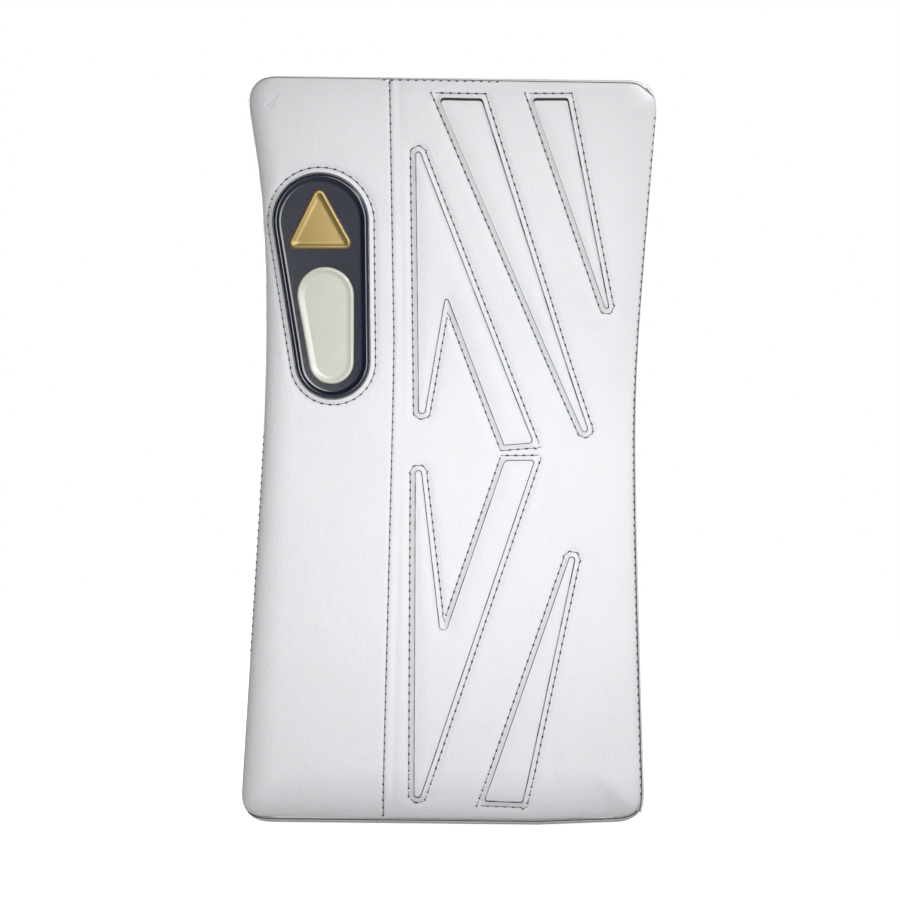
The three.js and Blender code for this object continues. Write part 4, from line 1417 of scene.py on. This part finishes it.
def stall_rings(path, half, reference, round_tip, seed, count=44, inner=0.0, flare=0.0):
    """Rings of a finger's sleeve: flattened ovals with side seams, soft folds and a round tip."""
    _, side, up = frames_along(path, reference)
    length = np.linalg.norm(np.diff(path, axis=0), axis=1).sum()
    cosines, sines = np.cos(full_turn(count)), np.sin(full_turn(count))
    ridge = 0.5 * gauss(sines, 0.1) - 0.35 * gauss(np.abs(sines) - 0.3, 0.12)
    rings = []
    for i, (p, a, b) in enumerate(zip(path, side, up)):
        at = length * i / (len(path) - 1)
        blunt = max(1 - (length - at) / half[1], 0)
        scale = max(1 - blunt**2.5, 0.001) ** 0.4 if round_tip else 1
        fold = [noise.noise((at / 3.4, c * 0.7 + seed, d * 0.7)) for c, d in zip(cosines, sines)]
        sag = [noise.noise((at / 11, c * 1.2 + seed, d * 1.2 + 5)) for c, d in zip(cosines, sines)]
        swell = ridge + 0.55 * np.array(fold) + 0.9 * np.array(sag) - inner
        wide = flare * gauss(at, 9)
        out_a = (half[0] + swell) * cosines
        out_b = (half[1] + wide + swell) * sines
        rings.append(p + np.outer(out_a, a) * scale + np.outer(out_b, b) * scale)
    return rings


def sleeve(name, path, half, reference, closed_tip, seed, flare):
    """A leather sleeve with an inside, open at its root, and at its end unless the tip is closed."""
    outer = stall_rings(path, half, reference, closed_tip, seed, flare=flare)
    inside = path[:-1] if closed_tip else path
    inner = stall_rings(inside, half, reference, closed_tip, seed, inner=1.5, flare=flare)
    rings = [ring * MM for ring in (outer[::-1] + inner if closed_tip else outer + inner[::-1])]
    obj = loft(name, rings, [SUEDE, NYLON], cap=closed_tip, sharp=80)
    count = len(rings[0])
    for i, face in enumerate(obj.data.polygons):
        face.material_index = int(i % count >= count / 2)  # cloth on the back of the finger
    return obj


def make_stall(name, corners, joints, bodies, half, reference, cut, seed, flare=0.0, trim=None):
    """A finger or thumb in leather: two sleeves that meet under a welt."""
    path = smooth_path(corners, 8, 1.2)
    nearest_cut = np.linalg.norm(path - cut, axis=1).argmin()
    pieces = (
        (f"{name}_root_leather", path[: nearest_cut + 2], False, joints[0], bodies[:2], flare),
        (f"{name}_tip_leather", path[nearest_cut - 1 :], True, joints[1], bodies[1:], 0),
    )
    for title, part, closed, joint, (a, b), wide in pieces:
        piece = sleeve(title, part, half, reference, closed, seed, wide)
        if trim and not closed:
            carve(piece, trim())
        i = np.linalg.norm(path - joint, axis=1).argmin()
        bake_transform(piece)
        yield piece
    ring = stall_rings(path[nearest_cut : nearest_cut + 3], half, reference, False, seed, 48)[1]
    way = unit(path[nearest_cut + 2] - path[nearest_cut])
    cord(f"{name}_welt", ring, 0.8, SUEDE, way, True, 8, bodies[1])


def carve(piece, cutter):
    """Cuts a closed shape out of a piece."""
    cut = piece.modifiers.new("cut", "BOOLEAN")
    cut.operation = "DIFFERENCE"
    cut.object = cutter
    finished(piece, 50)
    bpy.data.objects.remove(cutter)


def hand_room():
    """The space inside the palm."""
    path = arch_path(PALM["half"] - 2.6, 10, PALM["top"] - 2.6, PALM["corner"])
    rings = [np.column_stack([path, np.full(len(path), z)]) * MM for z in (90, 230)]
    return loft("hand_room_block", rings, [SUEDE])


def finger_joints(name):
    """Where a finger's knuckle, middle joint and tip are."""
    x, base, tip = FINGERS[name]
    knuckle = np.array((x, KNUCKLE_Y, KNUCKLE_Z), float)
    middle = knuckle + leaning(base, FINGER_LEAN[0])
    return knuckle, middle, middle + leaning(tip, FINGER_LEAN[1])


def thumb_joints():
    """The same for the thumb."""
    knuckle = THUMB_AXIS[1]
    middle = knuckle + leaning(THUMB_LENGTHS[0], THUMB_LEAN[0], THUMB_OUT)
    return knuckle, middle, middle + leaning(THUMB_LENGTHS[1], THUMB_LEAN[1], THUMB_OUT)


def make_web():
    """The leather between the fingers, across the top of the palm."""
    oval = np.stack([np.cos(full_turn(40)), np.sin(full_turn(40))], 1) * WEB_HOLE
    ovals = []
    for x, _, _ in FINGERS.values():
        middle = HAND_CENTRE + 0.975 * (x - HAND_CENTRE)
        ovals.append(oval + (middle, KNUCKLE_Y + 0.9))
    edge = arch_path(PALM["half"] - 1.2, PALM["foot"] + 0.4, PALM["top"] - 1.2, PALM["corner"])[::-1]
    edge = resampled(edge, 1.5)
    extra = well_inside(hex_grid(edge, 2.4), [edge, *ovals], 0.8)
    placed(level_sheet("finger_web_leather", [edge, *ovals], extra, WEB_Z, LEATHER, [SUEDE]), "palm_suede")


def make_fingers():
    for seed, name in enumerate(FINGERS):
        knuckle, middle, end = finger_joints(name)
        corners = [knuckle - (0, -2, 24), knuckle, middle, end]
        bodies = ("board", name + "_base", name + "_tip")
        cut = knuckle + leaning(FINGERS[name][1] * 0.5, FINGER_LEAN[0])
        joints = (knuckle, middle)
        root, top = make_stall(name, corners, joints, bodies, FINGER_HALF, (1, 0, 0), cut, seed, 1.2)
        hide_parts(f"finger_{name}_base")
        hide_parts(f"finger_{name}_tip")


def last_inside_palm(line):
    """The last point of a line that lies inside the palm's arch, or its first point if none does."""
    within = np.flatnonzero(in_arch(line, PALM["half"], PALM["top"], PALM["corner"]) > 0)
    return line[within[-1]] if len(within) else line[0]


def make_thumb():
    knuckle, middle, end = thumb_joints()
    way = unit(THUMB_AXIS[1] - THUMB_AXIS[0])
    start = last_inside_palm(THUMB_AXIS[0] + way * np.linspace(0, 30, 61)[:, None]) - way * 24
    corners = [start, knuckle, middle, end]
    bodies = ("board", "thumb_base", "thumb_tip")
    cut = knuckle + leaning(17, THUMB_LEAN[0], THUMB_OUT)
    half = (THUMB_RADIUS, THUMB_RADIUS)
    joints = (knuckle, middle)
    root, top = make_stall("thumb", corners, joints, bodies, half, THUMB_ACROSS, cut, 9, trim=hand_room)
    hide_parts("thumb_base")
    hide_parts("thumb_tip")

    # The welt where the thumb leaves the palm, along the line where the two surfaces meet.
    _, side, up = frames_along(np.array([start, start + way, start + 2 * way]), THUMB_ACROSS)
    ring = []
    for angle in full_turn(60):
        out = side[1] * math.cos(angle) + up[1] * math.sin(angle)
        line = THUMB_AXIS[0] + out * (THUMB_RADIUS + 0.2) + way * np.linspace(-14, 44, 117)[:, None]
        ring.append(last_inside_palm(line))
    cord("thumb_root_welt", relaxed(np.array(ring), 3), 1.3, SUEDE, way, True, 8)


def half_shell(node, path, half, reference, facing, spread, thickness, body):
    """A padded shell that covers one side of a finger: thick in its middle and thin at its edges."""
    _, side, up = frames_along(path, reference)
    angles = facing + np.radians(np.linspace(-spread, spread, 25))
    grid = np.empty((len(path), len(angles), 3))
    length = len(path) - 1
    thick = np.empty(grid.shape[:2])
    for i, (p, a, b) in enumerate(zip(path, side, up)):
        narrowed = 1 - 0.4 * (2 * i / length - 1) ** 4  # its corners are rounded off
        for j, angle in enumerate(facing + (angles - facing) * narrowed):
            across = 1 - abs(j - 12) / 12
            along = min(i, length - i) / length * 2
            quilting = 1 - 0.3 * math.exp(-((i - length / 2) ** 2) / 1.5)  # a seam across its middle
            thick[i, j] = thickness / 2 * quilting * min(1, 0.3 + 1.6 * min(across, along * 1.6) ** 0.6)
            out = 0.9 + thick[i, j]
            grid[i, j] = p + a * (half[0] + out) * math.cos(angle) + b * (half[1] + out) * math.sin(angle)
    placed(slab(node + "_pad", grid, thick, [WHITE]), "leather_side", node, body)


def part_way(a, b, shares):
    """Points between two others."""
    return a + (b - a) * np.array(shares)[:, None]


def make_finger_guards():
    knuckle, middle, end = finger_joints("index")
    low = part_way(knuckle, middle, np.linspace(0.24, 0.73, 18))
    high = part_way(middle, end, np.linspace(0.22, 0.66, 16))
    half_shell("index_guard_base", low, FINGER_HALF, (1, 0, 0), math.pi, 60, 3, "index_base")
    half_shell("index_guard_tip", high, FINGER_HALF, (1, 0, 0), math.pi, 60, 3, "index_tip")

    _, middle, end = thumb_joints()
    cap = part_way(middle, end, np.linspace(0.1, 0.62, 16))
    _, _, up = frames_along(cap, THUMB_ACROSS)
    facing = -math.pi / 2 if up[0][1] > 0 else math.pi / 2  # the board's side
    half_shell("thumb_cap", cap, (THUMB_RADIUS, THUMB_RADIUS), THUMB_ACROSS, facing, 70, 3.4, "thumb_tip")


# ---------------------------------------------------------------- side guard

BACK_LINE = bent(np.column_stack([np.zeros(200), np.linspace(0, HIGH_END, 200), np.full(200, -BOARD)])) / MM


def back_at(z):
    """The back of the board at a height, as y."""
    return np.interp(z, BACK_LINE[:, 2], BACK_LINE[:, 1])


def guard_outline(inset, count=150):
    """The guard from the side, as (y, z)."""
    low, high, reach = GUARD["low"] + inset, GUARD["high"] - inset, GUARD["reach"] - inset
    foot = [(back_at(z) + GUARD["gap"] + inset, z) for z in np.linspace(high, low, 24)]
    corners = [(reach - 22, low), (reach, low), (reach, low + 26)]
    tops = [(reach, high - 52), (reach, high), (reach - 40, high)]
    curves = [quadratic(*np.array(corners, float)), quadratic(*np.array(tops, float), 16)]
    return evenly(np.concatenate([*curves, foot]), count, True)


def guard_seams():
    """The quilting of the guard, as (line of (y, z), closed): a loop inside its edge and a line down it."""
    spine = smooth_path(GUARD_SPINE, 20, 2)
    return [(guard_outline(10, 220), True), (spine, False)]


def make_side_guard():
    outer, inner = GUARD["outer"], GUARD["inner"]
    middle = (outer + inner) / 2
    profile = [(7, 1.4), (3.4, 1.8), (1.8, 3.4)]  # inset, depth
    rings = [seen_from_side(guard_outline(inset), outer + depth) * MM for inset, depth in profile]
    rings += [seen_from_side(guard_outline(inset), inner - depth) * MM for inset, depth in profile[::-1]]
    cover = swollen(loft("side_guard_leather", rings, [WHITE]), 4, 2.4)
    points = points_of(cover.data) / MM
    for line, closed in guard_seams():
        gap = distance_to(points[:, 1:], line, closed)
        points[:, 0] -= np.sign(points[:, 0] - middle) * 1.5 * gauss(gap, 2.2)
    place_points(cover.data, points * MM)
    wrinkled(cover, 0.6, 18, 4.0)
    placed(cover, "leather_white", "side_guard_cover", "side_guard")
    for out, name in ((-1, "outer"), (1, "inner")):
        lines = []
        for seam, closed in guard_seams():
            line = np.column_stack([surface_x(cover, seam, out), seam])
            lines.append((line, np.tile((out, 0, 0), (len(line), 1)), closed))
        sewn("guard_stitching_" + name, lines, THREAD, body="side_guard")
    edge = seen_from_side(guard_outline(1.2, 260), middle)
    cord("side_guard_piping", edge, 1.5, BAND, (1, 0, 0), True, 10, "side_guard")
    for name, x, half, inset, material in (
        ("side_guard_plate", outer + 2.9, 0.7, 5, SHEET_PLASTIC),
        ("side_guard_foam", middle + 2.1, 1.4, 5, PADDING),
        ("side_guard_welt", middle, 0.4, 1.6, BAND),
    ):
        rings = []
        for share, further in ((-1, 0.4), (-0.6, 0), (0.6, 0), (1, 0.4)):
            rings.append(seen_from_side(guard_outline(inset + further), x + half * share) * MM)
        piece = loft(name + "_sheet", rings, [material])
        placed(piece, node=name if name in NODES else None, body="side_guard")


def make_guard_hinge():
    """The leather that joins the side guard to the board's back."""
    z = np.linspace(*GUARD_HINGE, 60)
    inner = GUARD["inner"] + 0.2
    section = smooth_path([(inner + 16, 0.6), (inner + 4, 0.8), (inner + 0.6, 4), (inner + 0.4, 15)], 3, 1.0)
    grid = raised(section, z)
    grid[..., 1] += back_at(z)[:, None]
    hinge = slab("side_guard_hinge_leather", grid, 0.55, [BAND])
    [Vector(point) * MM for point in GUARD_BEND]
    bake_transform(hinge)
    line = np.column_stack([np.full(len(z), inner + 13.5), back_at(z) + 1.25, z])
    sewn("side_guard_hinge_stitching", [(line, np.tile((0, 1, 0), (len(z), 1)), False)], THREAD)


def surface_x(obj, loop, out):
    """Where a line seen from the side lies on an object's surface, looking along x."""
    places = []
    for y, z in loop:
        start = Vector((0.3 * out, y * MM, z * MM))
        start.x += GUARD["outer"] * MM
        hit, place, _, _ = obj.ray_cast(obj.matrix_world.inverted() @ start, Vector((-out, 0, 0)))
        places.append(place.x / MM if hit else (GUARD["outer"] + GUARD["inner"]) / 2)
    return np.array(places)


def sewn(name, lines, thread, body="board", pitch=4.5, length=3.2):
    """Stitches along lines in space. A line is (points, the surface's normals, closed)."""
    frames = []
    for points, normals, closed in lines:
        count = max(2, round(np.linalg.norm(np.diff(points, axis=0), axis=1).sum() / pitch))
        both = evenly(np.hstack([points, normals]), count + 1, closed)
        places, up = both[:-1, :3], both[:-1, 3:]
        along = both[1:, :3] - places
        along /= np.linalg.norm(along, axis=1)[:, None]
        up = up - along * (up * along).sum(1)[:, None]
        up /= np.linalg.norm(up, axis=1)[:, None]
        frames += [(p, t, np.cross(u, t), u) for p, t, u in zip(places, along, up)]
    placed(stitch_mesh(name, frames, length, 0.35, [thread, NEEDLE_HOLE_SHADE], lambda verts: verts * MM), body=body)


# ---------------------------------------------------------------- cuff and strap


def cuff_path(offset_out, step=1.5):
    """The arch of the cuff at an offset outwards from its outer surface."""
    top = CUFF["foot"] + CUFF["height"] + offset_out
    return arch_path(CUFF["half"] + offset_out, CUFF["foot"], top, CUFF["corner"] + 8, step)


def make_cuff():
    path = cuff_path(-CUFF["wall"] / 2, 2.2)
    for name, keep, body, node in (
        ("thumb_wing", path[:, 0] <= CUFF_OPEN[0], "board", "cuff_thumb_wing"),
        ("little_wing", path[:, 0] >= CUFF_OPEN[1], "little_wing", "cuff_little_wing"),
    ):
        part = path[keep]
        grid = raised(part, np.linspace(CUFF["low"] + 1.6, CUFF["high"] - 1.6, 34))
        rows, columns = grid.shape[:2]
        down = np.minimum(np.arange(rows), np.arange(rows)[::-1])[:, None]
        over = np.minimum(np.arange(columns), np.arange(columns)[::-1])[None, :]
        half = 1.7 + 1.3 * np.clip(np.minimum(down, over) / 4, 0, 1)
        wing = swollen(slab(f"cuff_{name}_pad", grid, half, [NYLON], 0), 2, 0.9)
        points = points_of(wing.data)
        channel = np.min([np.abs(points[:, 2] / MM - z) for z in QUILTING], 0)
        points -= normals_of(wing.data) * (1.1 * gauss(channel, 2.2))[:, None] * MM
        place_points(wing.data, points)
        wrinkled(wing, 0.5, 14, 3.0)
        placed(wing, "back_nylon", node, body)
        inner = grid[1:-1, 1:-1]
        border = np.concatenate([inner[0], inner[1:-1, -1], inner[-1, ::-1], inner[-2:0:-1, 0]])
        border = relaxed(evenly(border, 260, True), 4)
        piece = cord(f"cuff_{name}_binding", border, 2.6, BAND, (0.3, 0.5, 0.8), True, 12, body)


def make_cuff_roots():
    """The leathers that hold the cuff's wings to the board."""
    for name, side, bodies in (("thumb", -1, None), ("little", 1, ("board", "little_wing"))):
        edge = HAND_CENTRE + side * CUFF["half"]
        corners = [(edge - side * 22, BACK + 0.6), (edge - side * 3, BACK + 0.8), (edge + side * 0.7, 18)]
        corners.append((edge + side * 0.8, 27))
        grid = raised(smooth_path(corners, 3, 1), np.linspace(*CUFF_ROOT, 40))
        root = slab(f"cuff_{name}_root_leather", grid, 0.5, [BAND])
        if bodies:
            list(bodies)
            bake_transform(root)
        else:
            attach(root, "board")


def make_wrist_sleeve():
    grid = raised(cuff_path(-9.2, 1.5), np.linspace(*SLEEVE, 50))
    sleeve_cloth = slab("wrist_sleeve_mesh", grid, 0.7, [MESH_CLOTH])
    wrinkled(sleeve_cloth, 1.0, 13, 6.0, (0.7, 0.7, 1.5))
    placed(sleeve_cloth, "mesh", "wrist_sleeve")


def make_strap():
    whole = cuff_path(4.5, 1.2)
    thumb_end = (whole[:, 0] < HAND_CENTRE) & (whole[:, 1] < CUFF["foot"] + 37)
    little_end = (whole[:, 0] > HAND_CENTRE) & (whole[:, 1] < CUFF["foot"] + 14)
    band = whole[~thumb_end & ~little_end]
    grid = raised(band, np.linspace(*STRAP, 36))
    rows = np.arange(36)
    half = np.where((rows < 2) | (rows > 33), 0.75, 1.05)[:, None] * np.ones(len(band))
    strap = slab("strap_webbing_band", grid, half, [WEBBING])
    wrinkled(strap, 0.35, 16, 8.0)
    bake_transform(strap)
    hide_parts("strap")

    for offset_out, name, node, body, margin, half in (
        (1.0, "strap_loop_pile", "strap_loop_tape", "board", 2, 0.55),
        (2.4, "strap_hook_pile", "strap_hook_tape", "strap", 4, 0.5),
    ):
        path = cuff_path(offset_out, 1.5)
        keep = (path[:, 0] < CUFF_OPEN[0]) & (path[:, 1] > CUFF["foot"] + 38)
        heights = np.linspace(STRAP[0] + margin, STRAP[1] - margin, 24)
        tape = slab(name, raised(path[keep], heights), half, [TAPE])
        placed(tape, "webbing", node, body)


make_face()
make_inlays()
make_face_stitching()
make_edge_stitching()
make_badge()
make_bands()
make_board_inside()
make_back_panel()
make_edge_binding()
make_palm()
make_flanges()
make_palm_patch()
make_eyelets()
make_laces()
make_hand_pad()
make_web()
make_fingers()
make_thumb()
make_finger_guards()
make_side_guard()
make_guard_hinge()
make_cuff()
make_cuff_roots()
make_wrist_sleeve()
make_strap()
NODES["impact_plate"].data.materials.clear()
NODES["impact_plate"].data.materials.append(SHEET_PLASTIC)

# ---------------------------------------------------------------- floor, light and camera


def make_stage():
    floor_material = bpy.data.materials.new("pale_floor")
    nodes = Nodes(floor_material)
    nodes.colour(nodes.noise(6), (0.46, 0.46, 0.46), (0.5, 0.5, 0.5))
    nodes.shader.inputs["Roughness"].default_value = 0.9
    nodes.shader.inputs["Emission Color"].default_value = (1, 1, 1, 1)
    seen = nodes.add("ShaderNodeLightPath").outputs["Is Camera Ray"]
    nodes.link(nodes.math("MULTIPLY", seen, 0.97), nodes.shader.inputs["Emission Strength"])
    bpy.ops.mesh.primitive_plane_add(size=40, location=(0, 0, (LOW_SAG[1] - 0.5) * MM))
    floor = bpy.context.object
    floor.name = "floor"
    floor.data.materials.append(floor_material)

    world = bpy.data.worlds.new("studio")
    world.use_nodes = True
    tree = world.node_tree
    background = tree.nodes["Background"]
    background.inputs["Color"].default_value = (1, 1, 1, 1)
    seen = tree.nodes.new("ShaderNodeLightPath").outputs["Is Camera Ray"]
    strength = tree.nodes.new("ShaderNodeMapRange")
    strength.inputs["To Min"].default_value = 0.1
    strength.inputs["To Max"].default_value = 1.0
    tree.links.new(seen, strength.inputs["Value"])
    tree.links.new(strength.outputs["Result"], background.inputs["Strength"])
    bpy.context.scene.world = world
    bpy.context.scene.view_settings.view_transform = "Standard"


def area_light(name, place, target, size, power, spread=180):
    data = bpy.data.lights.new(name, "AREA")
    data.size = size
    data.energy = power
    data.spread = math.radians(spread)
    obj = bpy.data.objects.new(name, data)
    bpy.context.scene.collection.objects.link(obj)
    obj.location = place
    obj.rotation_euler = (Vector(target) - Vector(place)).to_track_quat("-Z", "Y").to_euler()


def make_camera():
    """Square on to the chord of the bent board, from 0.6 m away."""
    camera = bpy.data.cameras.new("camera")
    camera.sensor_width = 36
    camera.lens = CAMERA["lens"]
    obj = bpy.data.objects.new("camera", camera)
    bpy.context.scene.collection.objects.link(obj)
    obj.location = Vector(CAMERA["place"]) * MM
    obj.rotation_euler = (math.radians(90 + CAMERA["pitch"]), 0, 0)
    bpy.context.scene.camera = obj


make_stage()
middle = (0, 0, 0.19)
area_light("key", (0.06, -0.56, 0.2), (0, 0, 0.18), 0.3, 0.6, 85)
area_light("side", (0.8, -0.6, 0.9), middle, 0.35, 4)
area_light("rim", (0.6, -0.04, 1.0), middle, 0.25, 3.2)
area_light("back", (-0.7, 0.9, 0.8), middle, 0.6, 10)
make_camera()
